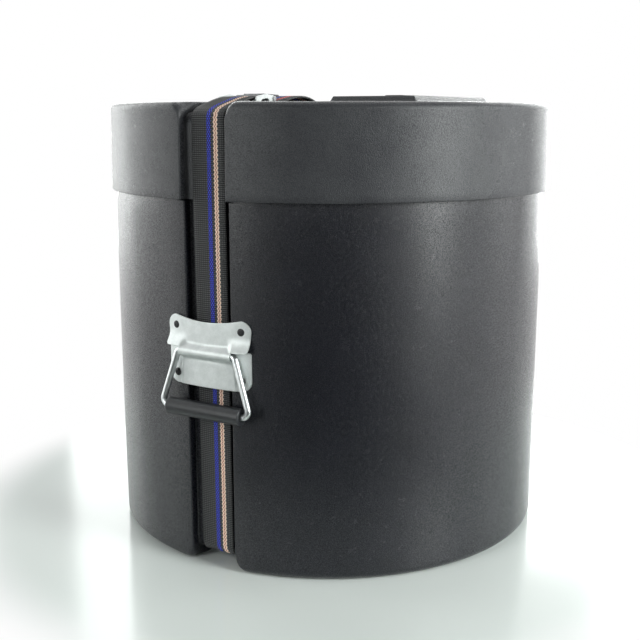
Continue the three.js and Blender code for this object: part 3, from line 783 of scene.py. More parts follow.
def tree_with(name, sizes):
    """A Geometry Nodes tree with named size inputs, and their values as outputs of its input node."""
    tree = bpy.data.node_groups.new(name, "GeometryNodeTree")
    for way in ("INPUT", "OUTPUT"):
        tree.interface.new_socket("Geometry", in_out=way, socket_type="NodeSocketGeometry")
    for size, value in sizes.items():
        kind = "NodeSocketObject" if isinstance(value, bpy.types.Object) else "NodeSocketFloat"
        tree.interface.new_socket(size, in_out="INPUT", socket_type=kind)
    entry = tree.nodes.new("NodeGroupInput")
    given = {socket.name: Value(tree, socket) for socket in entry.outputs if socket.name}
    return tree, Value(tree), given


def settled(piece):
    """Works a piece's modifiers into its mesh."""
    bpy.context.view_layer.update()
    mesh = bpy.data.meshes.new_from_object(piece.evaluated_get(bpy.context.evaluated_depsgraph_get()))
    piece.modifiers.clear()
    piece.data = mesh
    print(f"{piece.name}: {len(mesh.polygons)} faces")


def grow(carrier, tree, sizes):
    """Runs the tree on the carrier, which becomes the piece that the tree makes of it."""
    modifier = carrier.modifiers.new(tree.name, "NODES")
    modifier.node_group = tree
    for item in tree.interface.items_tree:
        if item.in_out == "INPUT" and item.name in sizes:
            modifier[item.identifier] = sizes[item.name]
    settled(carrier)


def ended(start, geometry, material):
    real = start.node("GeometryNodeRealizeInstances", {"Geometry": geometry})
    dressed = start.node("GeometryNodeSetMaterial", {"Geometry": real, "Material": material})
    smooth = start.node("GeometryNodeSetShadeSmooth", {0: dressed})
    start.node("NodeGroupOutput", {"Geometry": smooth})


def named(start, name, kind="FLOAT"):
    return start.node("GeometryNodeInputNamedAttribute", {"Name": name}, data_type=kind)


# %% Strap tree
STRAP_EDGE = 0.7 * MM
RIB_PITCH = 2 * MM
RIB_DEPTH = 0.3 * MM
RIB_STEPS = 4
RIB_ENDS = (0.478, 0.5)
STORED = "GeometryNodeStoreNamedAttribute"


def strap_section():
    """The webbing's section, as a closed line across and through it."""
    flat = STRAP_WIDTH / 2 - STRAP_EDGE
    half = STRAP_THICK / 2
    turn = flat + 0.55 * STRAP_EDGE
    quarter = [(x * flat, half) for x in (-1, -0.72, -0.3, 0, 0.3, 0.72, 1)]
    quarter += [(turn, 0.62 * half), (flat + STRAP_EDGE, 0), (turn, -0.62 * half)]
    return quarter + [(-x, -y) for x, y in quarter]


def strap_tree(sizes, material):
    tree, start, given = tree_with("webbing_sweep", sizes)

    def stored(geometry, name, value):
        inputs = {"Geometry": geometry, "Name": name, "Value": value}
        return start.node(STORED, inputs, data_type="FLOAT", domain="POINT")

    path = start.node("GeometryNodeMeshToCurve", {"Mesh": given["Geometry"]})
    spacing = given["Rib pitch"] * (1 / RIB_STEPS)
    even = start.node("GeometryNodeResampleCurve", {"Curve": path, "Length": spacing}, mode="LENGTH")
    turned = start.node("GeometryNodeSetCurveNormal", {"Curve": even, "Normal": (1, 0, 0)}, mode="FREE")
    measured = stored(turned, "along", start.node("GeometryNodeSplineParameter", output=1))
    section = start.node("GeometryNodeObjectInfo", {"Object": given["Section"]}, output=4)
    outline = start.node("GeometryNodeMeshToCurve", {"Mesh": section})
    parts = start.node("ShaderNodeSeparateXYZ", {0: start.node("GeometryNodeInputPosition")})
    marked = stored(outline, "across", parts)
    marked = stored(marked, "outer", parts.output(1).step(-0.1 * MM, 0.1 * MM))
    inputs = {"Curve": measured, "Profile Curve": marked, "Fill Caps": True}
    swept = start.node("GeometryNodeCurveToMesh", inputs)
    off_middle = named(start, "across").math("ABSOLUTE")
    inside = 1 - off_middle.step(*[given["Width"] * share for share in RIB_ENDS])
    sink = named(start, "along").wave(given["Rib pitch"]) * inside * given["Rib depth"]
    inputs = {0: start.node("GeometryNodeInputNormal"), "Scale": sink * -1}
    offset = start.node("ShaderNodeVectorMath", inputs, operation="SCALE")
    ended(start, start.node("GeometryNodeSetPosition", {"Geometry": swept, "Offset": offset}), material)
    return tree


# %% Webbing finish
BLUE_AT = 1 * MM
PALE_AT = 8.8 * MM
STRIPE = 4.6 * MM
PLY = 2 * RIB_PITCH
webbing, start, where = new_finish("woven_webbing")
across, along, outer_side = [
    start.node("ShaderNodeAttribute", output=2, attribute_name=name) for name in ("across", "along", "outer")
]


def stripe(off_middle):
    return 1 - off_middle.math("ABSOLUTE").step(STRIPE / 2 - 0.3 * MM, STRIPE / 2 + 0.2 * MM)


fuzz = where.noise(0.7 * MM, 3, 0.6)
picks = 1 - along.wave(RIB_PITCH)
ends = across.wave(2.4 * MM)
# Painted highlight and painted shade: the black yarn is coloured lighter on the crests of the pressed-in ribs
# and darker in the grooves between them, with a little random fuzz.
lit_crests = (picks * (0.5 + 0.5 * ends) + fuzz * 0.3).step(0.3, 1.1)
black_yarn_lit_crests = lit_crests.mix((0.0036, 0.0040, 0.0044, 1), (0.1127, 0.1150, 0.1173, 1))
pair_dots = (along + PLY / 4).wave(PLY) * (across - BLUE_AT).wave(STRIPE / 2)
lone_dots = (along - PLY / 4).wave(PLY) * (across - BLUE_AT - STRIPE / 4).wave(STRIPE / 2)
beat = (pair_dots.math("MAXIMUM", lone_dots) + fuzz * 0.2).step(0.5, 0.9)
blue_yarn = beat.mix((0.002, 0.004, 0.10, 1), (0.06, 0.10, 1.0, 1))
scallop = (along.wave(PLY) - 0.5) * 0.9 * MM
parting = (across - PALE_AT + scallop * 1.3).math("ABSOLUTE").step(0.2 * MM, 0.9 * MM)
strands = (along + (across - PALE_AT) * 0.8).wave(RIB_PITCH) * 0.35 + parting * 0.75 + fuzz * 0.25
braid = strands.step(0.15, 1.0)
pale_yarn = braid.mix((0.36, 0.12, 0.06, 1), (1.0, 0.74, 0.60, 1))
red_yarn = braid.mix((0.28, 0.02, 0.03, 1), (0.85, 0.10, 0.13, 1))
plain = stripe(across - BLUE_AT).mix(black_yarn_lit_crests, blue_yarn)
weave = picks * 0.6 + ends * picks * 0.3 + fuzz * 0.3
settle(start, {
    "Base Color": stripe(across - PALE_AT + scallop).mix(plain, outer_side.mix(red_yarn, pale_yarn)),
    "Roughness": 0.50 + 0.2 * fuzz,
    "Sheen Weight": 0.18,
    "Sheen Roughness": 0.35,
    "Normal": weave.bump(0.3 * MM),
})

# %% Strap
section = line_object("strap_section", [(x, y, 0) for x, y in strap_section()], closed=True)
strap = line_object("strap", [(strap_lean(y, z), y + AXIS_Y, z) for y, z in strap_path])
strap_sizes = {"Section": section, "Width": STRAP_WIDTH, "Rib pitch": RIB_PITCH, "Rib depth": RIB_DEPTH}
grow(strap, strap_tree(strap_sizes, webbing), strap_sizes)
bpy.data.objects.remove(section)
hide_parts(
    "strap_base_run", "strap_front_run", "strap_rear_run", "strap_front_top", "strap_rear_top",
)
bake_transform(strap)

# %% [markdown]
# ## Closed skins over rings
#
# Wires, bars, rivets, the grip and the buckle's parts are all rings of points joined one to the next. A
# turned piece is such a stack too: its rings are circles, and its profile says how wide and how far along
# each one is. One kind of patchwork gathers any number of stacks, closes their ends and marks the creases.

# %% Solids from rings
ON_AXIS = 1e-5


def circle(steps):
    return [(math.cos(a), math.sin(a)) for a in spread(0, 2 * HALF_TURN, steps)[:-1]]


class Solid(Patchwork):
    """Closed skins over rings of points, gathered into one mesh."""

    def loft(self, rings, closed=False):
        rows = self.points(rings)
        following = rows[1:] + rows[:1] if closed else rows[1:]
        for near, far in zip(rows, following):
            for i in range(len(near)):
                j = (i + 1) % len(near)
                self.work.faces.new((near[i], near[j], far[j], far[i]))
        if not closed:
            self.work.faces.new(rows[0])
            self.work.faces.new(list(reversed(rows[-1])))
        return self

    def turned(self, profile, place, steps=32, closed=False):
        """A lathe piece. The profile is (radius, height), and place carries its Z axis to its own place."""
        profile = [(max(radius, ON_AXIS), height) for radius, height in profile]
        rings = [[place @ Vector((r * x, r * y, height)) for x, y in circle(steps)] for r, height in profile]
        return self.loft(rings, closed)

    def wire(self, points, radius, normal, sides=24):
        """A round wire along points. The normal is any direction that the points never run along."""
        points = [Vector(point) for point in points]
        rings = []
        for i, point in enumerate(points):
            ahead = points[min(i + 1, len(points) - 1)] - points[max(i - 1, 0)]
            across = ahead.cross(normal).normalized()
            up = across.cross(ahead).normalized()
            rings.append([point + (across * x + up * y) * radius for x, y in circle(sides)])
        return self.loft(rings)

    def piece(self, name, finish):
        return self.to_object(name, finish, merge=2e-5, sliver=1e-6, crease=40)


# %% [markdown]
# ## Metal finishes
#
# The handle plate and the buckle are zinc plated: pale, slightly cool and softly shiny, with a faint cloud
# in the plating and fine rubbing marks. The wire is drawn and then plated, so its marks run along it and it
# catches a sharp line of light. The rivets' heads are painted black, and the paint has worn thin on top.


# %% Zinc
def zinc_finish(name, dark, light, dull, rubbed):
    material, start, where = new_finish(name)
    cloud = where.noise(9 * MM, 4, 0.6)
    speck = where.noise(0.8 * MM, 2, 0.6)
    rubs = where.vector("MULTIPLY", (1, 6, 6)).noise(3 * MM, 5, 0.7)
    settle(start, {
        "Base Color": (cloud * 0.7 + speck * 0.3).step(0.3, 0.7).mix(dark, light),
        "Metallic": 1,
        "Roughness": dull + 0.12 * cloud + rubbed * rubs,
        "Normal": (speck * 0.6 + rubs * 0.4).bump(0.04 * MM),
    })
    return material


plate_zinc = zinc_finish("zinc_plate", (0.66, 0.695, 0.685, 1), (0.80, 0.83, 0.825, 1), 0.43, 0.12)
wire_zinc = zinc_finish("zinc_wire", (0.74, 0.77, 0.775, 1), (0.86, 0.885, 0.89, 1), 0.22, 0.10)
bright_steel = zinc_finish("bright_steel", (0.60, 0.61, 0.62, 1), (0.74, 0.75, 0.76, 1), 0.18, 0.08)
dark_steel = zinc_finish("lever_steel", (0.20, 0.205, 0.21, 1), (0.33, 0.335, 0.34, 1), 0.24, 0.10)

# %% Black paint and grip plastic
rivet_black, start, where = new_finish("rivet_black")
chips = where.noise(1.2 * MM, 5, 0.7).step(0.62, 0.70)
settle(start, {
    "Base Color": chips.mix((0.012, 0.012, 0.014, 1), (0.16, 0.16, 0.165, 1)),
    "Metallic": chips * 0.8,
    "Roughness": 0.32 + 0.25 * where.noise(2 * MM),
    "Normal": where.noise(0.5 * MM).bump(0.05 * MM),
})

grip_plastic, start, where = new_finish("grip_plastic")
drag = where.vector("MULTIPLY", (0.25, 1, 1)).noise(1.2 * MM, 4, 0.6)
haze = where.noise(8 * MM, 3, 0.6)
rubbed = (drag * 0.5 + haze * 0.5).step(0.3, 0.7)
settle(start, {
    "Base Color": rubbed.mix((0.011, 0.012, 0.014, 1), (0.028, 0.030, 0.034, 1)),
    "Roughness": 0.27 + 0.14 * haze + 0.05 * drag,
    "Specular IOR Level": 0.6,
    "Normal": drag.bump(0.10 * MM),
})

# %% [markdown]
# ## The handle plate
#
# The plate is pressed from one sheet: a half tube across its middle holds the bail, and beside each end of
# the tube an ear is pushed out of the sheet and curls outwards, to stop the bail's arm. Such a sheet is a
# height over its flat outline, with slits where the ears part from it. So the outline is filled with small
# triangles first, each point is lifted by the height there, and Solidify gives the sheet its thickness.

# %% Handle sizes
HANDLE_Z = 223 * MM
SHEET = 1.5 * MM
PLATE_FACE = BODY_RADIUS + 0.3 * MM + SHEET
PIVOT_Y = -239.2 * MM
KNUCKLE_RADIUS = 5.1 * MM
KNUCKLE_HALF = 29.6 * MM
KNUCKLE_ROUND = 0.72 * KNUCKLE_RADIUS
FLANK_SLOPE = 1.62
LOBE = 10.5 * MM
RIVET_X = 38 * MM
RIVET_V = 24 * MM
EAR_TOP = 19 * MM
EAR_BOTTOM = 4.7 * MM
EAR_LIFT = 7.6 * MM
EAR_CURL = 1.5
EAR_SIDE = (22 * MM, 30.5 * MM)
SLIT = 0.8 * MM
SLIT_END = -6.8 * MM
WAIST = 4.5 * MM
OUTLINE_STEP = 0.8 * MM
PAN_RISE = 0.9 * MM
PAN_HALF = 31 * MM
PAN_TAPER = 0.07
PAN_TOP = 6 * MM
PAN_FULL = 10 * MM
PAN_BEND = 1.6 * MM


def soft_max(a, b, reach):
    near = max(reach - abs(a - b), 0) / reach
    return max(a, b) + near * near * reach / 4


def plate_behind(x):
    return math.sqrt(PLATE_FACE ** 2 - x * x)


def plate_lift(x, v):
    """The sheet's height over a plain curved plate: half tube, ears, and the pan in the lower half."""
    lift = 0
    if abs(x) < KNUCKLE_HALF + 0.1 * MM:
        top = math.sqrt(KNUCKLE_RADIUS ** 2 - min(abs(v), KNUCKLE_ROUND) ** 2)
        tube = top - max(abs(v) - KNUCKLE_ROUND, 0) * FLANK_SLOPE
        lift = soft_max(0, -PIVOT_Y + tube - plate_behind(x), 3.4 * MM)
    if v > EAR_BOTTOM - SLIT / 2:
        ramp = EAR_LIFT * (max(EAR_TOP - v, 0) / (EAR_TOP - EAR_BOTTOM)) ** EAR_CURL
        ear = soft_max(0, ramp, 3 * MM) * eased(abs(x), *EAR_SIDE)
        lift = soft_max(lift, ear - 0.3 * MM, 1.8 * MM)
    pan_edge = abs(x) - PAN_HALF + PAN_TAPER * (v + (PAN_TOP + PAN_FULL) / 2)
    pan = (1 - eased(pan_edge, -PAN_BEND, PAN_BEND)) * eased(-v, PAN_TOP, PAN_FULL)
    return lift + PAN_RISE * pan


def plate_point(x, v):
    turn = math.asin(x / PLATE_FACE)
    radial = eased(abs(x), 24 * MM, 30 * MM)
    out = Vector((math.sin(turn) * radial, -math.cos(turn * radial), 0))
    return Vector((x, AXIS_Y - plate_behind(x), HANDLE_Z + v)) + out * plate_lift(x, v)


# %% Plate outline
def plate_outline():
    """The flat outline in small steps: a waisted top, round lobes, and a slit under each ear."""
    top = RIVET_V + LOBE
    edge = RIVET_X + LOBE
    slit_top = EAR_BOTTOM - SLIT
    half = [(x, top - WAIST * (1 - (x / RIVET_X) ** 2)) for x in spread(0, RIVET_X, 24)[:-1]]
    half += arc((RIVET_X, RIVET_V), LOBE, 90, 0, 12)
    half += [(edge - 1.4 * MM, EAR_BOTTOM + 4 * MM), (edge - 2.2 * MM, EAR_BOTTOM + 1.2 * MM)]
    half += [(edge - 4 * MM, EAR_BOTTOM), (KNUCKLE_HALF, EAR_BOTTOM), (KNUCKLE_HALF, SLIT_END)]
    half += [(KNUCKLE_HALF + SLIT, SLIT_END), (KNUCKLE_HALF + SLIT, slit_top)]
    half += [(edge - 1.6 * MM, slit_top), (edge - 0.3 * MM, slit_top - 1.4 * MM)]
    half += arc((RIVET_X, -RIVET_V), LOBE, 0, -90, 12)
    whole = half + [(-x, v) for x, v in reversed(half) if x > 0]
    found = []
    for (ax, av), (bx, bv) in zip(whole, whole[1:] + whole[:1]):
        steps = max(round(math.dist((ax, av), (bx, bv)) / OUTLINE_STEP), 1)
        found += [(ax + (bx - ax) * i / steps, av + (bv - av) * i / steps) for i in range(steps)]
    return found


def inside_points(outline, step, margin):
    """Points of a regular grid that lie inside an outline and clear of it."""
    line = np.array(outline)
    after = np.roll(line, -1, axis=0)
    low, high = line.min(axis=0), line.max(axis=0)
    grid = np.stack(np.meshgrid(np.arange(low[0], high[0], step), np.arange(low[1], high[1], step)), axis=-1)
    grid = grid.reshape(-1, 1, 2)
    along = after - line
    share = (((grid - line) * along).sum(axis=2) / (along ** 2).sum(axis=1)).clip(0, 1)
    gap = np.linalg.norm(line + along * share[..., None] - grid, axis=2).min(axis=1)
    spans = (line[:, 1] > grid[..., 1]) != (after[:, 1] > grid[..., 1])
    slope = np.where(along[:, 1] == 0, 1, along[:, 1])
    crossing = line[:, 0] + (grid[..., 1] - line[:, 1]) * along[:, 0] / slope
    odd = (spans & (grid[..., 0] < crossing)).sum(axis=1) % 2 == 1
    return grid[odd & (gap > margin), 0]


# %% Handle plate
outline = plate_outline()
flat = [Vector(point) for point in outline + list(inside_points(outline, 0.9 * MM, 0.5 * MM))]
loop = list(range(len(outline)))
filled = delaunay_2d_cdt(flat, list(zip(loop, loop[1:] + loop[:1])), [loop], 1, 1e-7)
sheet = mesh_object("pressed_plate", [plate_point(p.x, p.y) for p in filled[0]], faces=filled[2])
if sum(face.normal.y for face in sheet.data.polygons) > 0:
    sheet.data.flip_normals()
sheet.data.polygons.foreach_set("use_smooth", [True] * len(sheet.data.polygons))
for name, kind, settings in (
    ("thickness", "SOLIDIFY", {"thickness": SHEET, "offset": -1, "use_even_offset": True}),
    ("rounded_edges", "BEVEL", {
        "width": 0.3 * MM, "segments": 2, "limit_method": "ANGLE", "angle_limit": math.radians(55),
    }),
):
    modifier = sheet.modifiers.new(name, kind)
    for key, value in settings.items():
        setattr(modifier, key, value)
settled(sheet)
sheet.data.materials.append(plate_zinc)
place_piece(sheet, "case_body", "zinc_plate", "handle_plate")

# %% [markdown]
# ## Bail and grip
#
# The bail is one wire, bent at four corners, with its two ends inside the grip. It hangs from the half tube
# and leans out a little, because the grip rests on the edges of the channel.

# %% Bail
WIRE = 3.2 * MM
BAIL_DROP = 57 * MM
BAIL_REACH = 53 * MM
SHOULDER = 30.3 * MM
ARM_BEND = 5 * MM
GRIP_BEND = 6.5 * MM
END_GAP = 0.5 * MM
grip_low, grip_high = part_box("handle_grip")
grip_centre = (grip_low + grip_high) / 2
hang = math.asin((PIVOT_Y + AXIS_Y - grip_centre.y) / BAIL_DROP)
down = Vector((0, -math.sin(hang), -math.cos(hang)))
pivot = Vector((0, PIVOT_Y + AXIS_Y, HANDLE_Z))
print(f"the bail leans out {math.degrees(hang):.2f} degrees")


def bent(corners, radii, steps=14):
    """A middle line through corners, with a round bend of its own radius at each."""
    found = [corners[0]]
    for before, corner, after, radius in zip(corners, corners[1:], corners[2:], radii):
        back = (before - corner).normalized()
        ahead = (after - corner).normalized()
        half = back.angle(ahead) / 2
        centre = corner + (back + ahead).normalized() * radius / math.sin(half)
        start = corner + back * radius / math.tan(half) - centre
        end = corner + ahead * radius / math.tan(half) - centre
        sweep = start.angle(end)
        for t in spread(0, 1, steps):
            mixed = start * math.sin((1 - t) * sweep) + end * math.sin(t * sweep)
            found.append(centre + mixed / math.sin(sweep))
    return found + [corners[-1]]


lean = math.atan((BAIL_REACH - SHOULDER) / BAIL_DROP)
corner_x = SHOULDER + ARM_BEND * math.tan((QUARTER - lean) / 2)
right_corners = [(END_GAP, 1), (BAIL_REACH, 1), (corner_x, 0)]
flat_corners = right_corners + [(-x, share) for x, share in reversed(right_corners)]
corners = [pivot + Vector((x, 0, 0)) + down * (BAIL_DROP * share) for x, share in flat_corners]
bail_line = bent(corners, [GRIP_BEND, ARM_BEND, ARM_BEND, GRIP_BEND])
bail = Solid().wire(bail_line, WIRE, down.cross(Vector((1, 0, 0)))).piece("bail", wire_zinc)
place_piece(bail, "bail", "zinc_wire", "handle_bail")

# %% Grip
GRIP_HALF = 43.5 * MM
GRIP_RADIUS = 8.5 * MM
GRIP_BORE = 3.8 * MM
GRIP_RIM = 1.3 * MM
GRIP_WAIST = 0.15 * MM
BORE_EDGE = 0.3 * MM
grip_profile = [(GRIP_BORE, -GRIP_HALF + BORE_EDGE), (GRIP_BORE + BORE_EDGE, -GRIP_HALF)]
grip_profile += [
    (GRIP_RADIUS - GRIP_RIM * (1 - math.sin(a)), -GRIP_HALF + GRIP_RIM * (1 - math.cos(a)))
    for a in spread(0, QUARTER, 5)
]
grip_profile += [
    (GRIP_RADIUS - GRIP_WAIST * math.cos(QUARTER * z / GRIP_HALF), z) for z in spread(-40 * MM, 0, 8)
]
grip_profile += [(r, -z) for r, z in reversed(grip_profile[:-1])]
grip_axis = Matrix.Translation(grip_centre) @ Matrix.Rotation(QUARTER, 4, "Y")
grip = Solid().turned(grip_profile, grip_axis, 48, closed=True).piece("grip_tube", grip_plastic)
place_piece(grip, "grip", "grip_plastic", "handle_grip")

# %% [markdown]
# ## Rivets and washers
#
# Four rivets hold the plate, each with a washer inside the body. One turned shape is repeated, so Geometry
# Nodes place it: the carrier has a point for each copy, and a direction on each point turns it outwards.

# %% Rivets and washers
WASHER_FACE = 230.9 * MM
rivet_turn = math.asin(RIVET_X / BODY_RADIUS)
rivet_ways = [Vector((math.sin(side * rivet_turn), -math.cos(rivet_turn), 0)) for side in (-1, -1, 1, 1)]
rivet_heights = [Vector((0, AXIS_Y, HANDLE_Z + up * RIVET_V)) for up in (-1, 1, -1, 1)]
# Half sections, as (radius, height over the seat) in millimetres: dimpled head, shank and set tail; washer.
rivet_profile = [
    (0, 1.15), (0.64, 1.15), (0.88, 1.62), (1.44, 1.8), (2.4, 1.62), (3.2, 1.25), (3.72, 0.75), (4, 0.3),
    (4, 0), (2, 0), (2, -7.7), (3.5, -7.8), (3.8, -8.3), (3.2, -9.6), (0, -9.9),
]
washer_profile = [
    (2.3, -0.1), (2.5, 0), (6.8, 0), (7, -0.2), (7, -1), (6.8, -1.2), (2.5, -1.2), (2.3, -1.1),
]


def scattered(name, profile, steps, closed, radius, material):
    """Copies of a turned shape on the rivets' axes at this radius, each with its Z axis turned outwards."""
    solid = Solid().turned(in_metres(profile), Matrix.Identity(4), steps, closed)
    shape = solid.piece(name + "_shape", material)
    made = mesh_object(name, [way * radius + height for way, height in zip(rivet_ways, rivet_heights)])
    outward = made.data.attributes.new("outward", "FLOAT_VECTOR", "POINT")
    outward.data.foreach_set("vector", np.ravel(rivet_ways))
    sizes = {"Shape": shape}
    tree, start, given = tree_with(name, sizes)
    facing = named(start, "outward", "FLOAT_VECTOR")
    turned = start.node("FunctionNodeAlignRotationToVector", {"Vector": facing}, axis="Z")
    copy = start.node("GeometryNodeObjectInfo", {"Object": given["Shape"]}, output=4)
    inputs = {"Points": given["Geometry"], "Instance": copy, "Rotation": turned}
    ended(start, start.node("GeometryNodeInstanceOnPoints", inputs), material)
    grow(made, tree, sizes)
    bpy.data.objects.remove(shape)
    return made


rivets = scattered("rivets", rivet_profile, 24, False, PLATE_FACE, rivet_black)
place_piece(rivets, "case_body", "black_rivet", *[f"handle_rivet_{i}" for i in range(1, 5)])
washers = scattered("washers", washer_profile, 32, True, WASHER_FACE, bright_steel)
place_piece(washers, "case_body", "bright_steel", *[f"rivet_washer_{i}" for i in range(1, 5)])

# %% [markdown]
# ## The cam buckle
#
# Two cheeks and two bars make the frame. The webbing's sewn end is looped round the front bar. The other
# end comes along the lid, turns round the rear bar and is bitten there by the cam. The lever's tab lies flat
# when the strap is tight, and lifting it turns the cam's teeth away from the webbing.

# %% Buckle frame
CHEEK = (21 * MM, 23 * MM)
CHEEK_EDGE = 0.35 * MM
BAR = 2.2 * MM
BAR_HALF = 22 * MM


def along_x(y, z):
    """Carries a turned piece's axis onto a line along X."""
    return Matrix.Translation((0, y + AXIS_Y, z)) @ Matrix.Rotation(QUARTER, 4, "Y")


def round_outline(corners, steps=8):
    """A closed outline of (y, z, radius) corners, each rounded with its own radius."""
    found = []
    for i, (y, z, radius) in enumerate(corners):
        corner = Vector((y, z))
        before = Vector(corners[i - 1][:2]) - corner
        after = Vector(corners[(i + 1) % len(corners)][:2]) - corner
        half = before.angle(after) / 2
        reach = min(radius / math.tan(half), 0.49 * before.length, 0.49 * after.length)
        start = corner + before.normalized() * reach
        end = corner + after.normalized() * reach
        found += rounded(start, corner, end, math.sin(half), steps)
    return found


def drawn_in(outline, shift, x):
    """The outline at x, drawn in by shift."""
    found = []
    for i, (y, z) in enumerate(outline):
        before, after = Vector(outline[i - 1]), Vector(outline[(i + 1) % len(outline)])
        ahead = (after - before).normalized()
        found.append((x, y - ahead.y * shift + AXIS_Y, z + ahead.x * shift))
    return found


cheek_outline = round_outline(in_metres([
    (-180.6, 457.9, 3.6), (-173.4, 458.3, 1), (-172, 463.2, 4), (-158.6, 464.6, 4.5), (-156, 451.3, 3.6),
    (-147.8, 451.3, 3.6), (-145.9, 466.6, 4.2), (-163, 468.6, 12), (-180.6, 465.9, 3.6),
]))
buckle = Solid()
for near, far in (-CHEEK[1], -CHEEK[0]), CHEEK:
    places = ((near, CHEEK_EDGE), (near + CHEEK_EDGE, 0), (far - CHEEK_EDGE, 0), (far, CHEEK_EDGE))
    buckle.loft([drawn_in(cheek_outline, shift, x) for x, shift in places])
for y, z in (LOOP_BAR, ANVIL):
    buckle.turned([(BAR, -BAR_HALF), (BAR, BAR_HALF)], along_x(y, z), 28)
place_piece(buckle.piece("buckle_cheeks", plate_zinc), "lid", "zinc_plate", "buckle_frame")

# %% Buckle pin and spring
SPRING_SPAN = (15.7 * MM, 20.3 * MM)
SPRING_RADIUS = 2.2 * MM
SPRING_WIRE = 0.4 * MM
SPRING_COILS = 3
pin_end = in_metres([(0, 24.3), (2.2, 24.3), (2.7, 23.8), (2.7, 23.3), (1.5, 23.3)])
pin_profile = [(r, -h) for r, h in pin_end] + pin_end[::-1]
pin = Solid().turned(pin_profile, along_x(*LEVER_PIN), 28).piece("lever_pin", bright_steel)
place_piece(pin, "lid", "bright_steel", "buckle_pin")


def round_pin(x, radius, angle):
    """A point around the lever's pin."""
    y, z = radius * math.cos(angle), radius * math.sin(angle)
    return (x, LEVER_PIN[0] + AXIS_Y + y, LEVER_PIN[1] + z)


spring_xs = spread(SPRING_SPAN[0] + SPRING_WIRE, SPRING_SPAN[1] - SPRING_WIRE, SPRING_COILS * 28)
spring_turns = spread(0, 2 * HALF_TURN * SPRING_COILS, SPRING_COILS * 28)
spring_line = [round_pin(x, SPRING_RADIUS, angle) for x, angle in zip(spring_xs, spring_turns)]
spring = Solid().wire(spring_line, SPRING_WIRE, Vector((1, 0, 0)), 12).piece("coiled_spring", bright_steel)
place_piece(spring, "lid", "bright_steel", "cam_spring")

# %% Buckle lever
CAM = 4.4 * MM
CAM_STEPS = 96
CAM_TEETH = 6
TOOTH = 0.8 * MM
BORE = 1.8 * MM
CAM_ENDS = (-20.7 * MM, 14.7 * MM)
TAB_LENGTH = 28 * MM
TAB_HALF = 12 * MM
TAB_CORNER = 3.2 * MM
TAB_SHEET = 1.5 * MM
TAB_ROOT = 6 * MM
ROOT_CURVE = 14 * MM
TAB_RISE = 0.75 * MM
TAB_FALL = 0.8 * MM
TAB_EDGE = 0.4 * MM
BITE_HALF = 45


def cam_ring(x, shrink=0, bore=False):
    """The cam's outline at x, with teeth over its lowest quarter, or its bore."""
    ring = []
    for angle in spread(0, 2 * HALF_TURN, CAM_STEPS)[:-1]:
        below = math.degrees((angle - 1.5 * HALF_TURN + HALF_TURN) % (2 * HALF_TURN) - HALF_TURN)
        share = (below / BITE_HALF + 1) / 2
        bite = TOOTH * abs(math.sin(HALF_TURN * share * CAM_TEETH)) if 0 < share < 1 else 0
        ring.append(round_pin(x, BORE if bore else CAM - bite - shrink, angle))
    return ring


left, right = CAM_ENDS
lever_solid = Solid().loft([
    cam_ring(left, TAB_EDGE), cam_ring(left + TAB_EDGE), cam_ring(right - TAB_EDGE),
    cam_ring(right, TAB_EDGE), cam_ring(right, bore=True), cam_ring(left, bore=True),
], closed=True)
tab_rings = []
straight = TAB_LENGTH - TAB_CORNER
tip = [straight + TAB_CORNER * math.sin(a) for a in spread(0, QUARTER, 6)]
for y in spread(-TAB_SHEET, straight, 10) + tip[1:]:
    wide = TAB_HALF - TAB_CORNER + math.sqrt(max(TAB_CORNER ** 2 - max(y - straight, 0) ** 2, 0))
    top = CAM + TAB_RISE - TAB_FALL * y / TAB_LENGTH
    sole = top - TAB_SHEET - max(TAB_ROOT - y, 0) ** 2 / ROOT_CURVE
    half = [(wide - TAB_EDGE, top), (wide, top - TAB_EDGE), (wide, sole + TAB_EDGE), (wide - TAB_EDGE, sole)]
    section = half + [(-x, z) for x, z in reversed(half)]
    tab_rings.append([(x, LEVER_PIN[0] + AXIS_Y + y, LEVER_PIN[1] + z) for x, z in section])
lever = lever_solid.loft(tab_rings).piece("cam_lever", dark_steel)
place_piece(lever, "lever", "zinc_plate", "buckle_lever")

# %% [markdown]
# ## Light, background and floor
#
# The photograph has a bright white sweep behind the case and a dark room in front of it, so the black shell
# is nearly black in the middle and whitens towards both sides. Most lamps are tall soft boxes in a ring round
# the case, brightest on the right, and the front stays dark. A lower one stands behind on the right, so that
# the panel on the lid doesn't mirror it, a higher one lights the lid's right side, and two faint ones fill
# from the front and from above. Their brightnesses were fitted so that the sum has the tones of the
# photograph. The world is white behind and nearly dark elsewhere, and the camera always sees it white.

# %% Lamps
scene = bpy.context.scene
scene.view_settings.view_transform = "Standard"
FRONT = Vector((math.sin(CAMERA_AZIMUTH), -math.cos(CAMERA_AZIMUTH), 0))
RIGHT = Vector((math.cos(CAMERA_AZIMUTH), math.sin(CAMERA_AZIMUTH), 0))
LAMP_AIM = Vector((0, AXIS_Y, 0.25))
PALE_GREEN = (0.965, 1, 0.985)


def soft_box(name, turn, brightness, distance=2.0, height=0.75, size=(0.6, 1.5)):
    """A soft box that faces the case, so many degrees right of the camera. White paper is 1 bright."""
    data = bpy.data.lights.new(name, "AREA")
    data.shape = "RECTANGLE"
    data.size, data.size_y = size
    data.energy = brightness * HALF_TURN * size[0] * size[1]
    data.color = PALE_GREEN
    lamp = link_object(name, data)
    side = FRONT * math.cos(math.radians(turn)) + RIGHT * math.sin(math.radians(turn))
    lamp.location = LAMP_AIM + side * distance + Vector((0, 0, height - LAMP_AIM.z))
    lamp.rotation_euler = (LAMP_AIM - lamp.location).to_track_quat("-Z", "Y").to_euler()


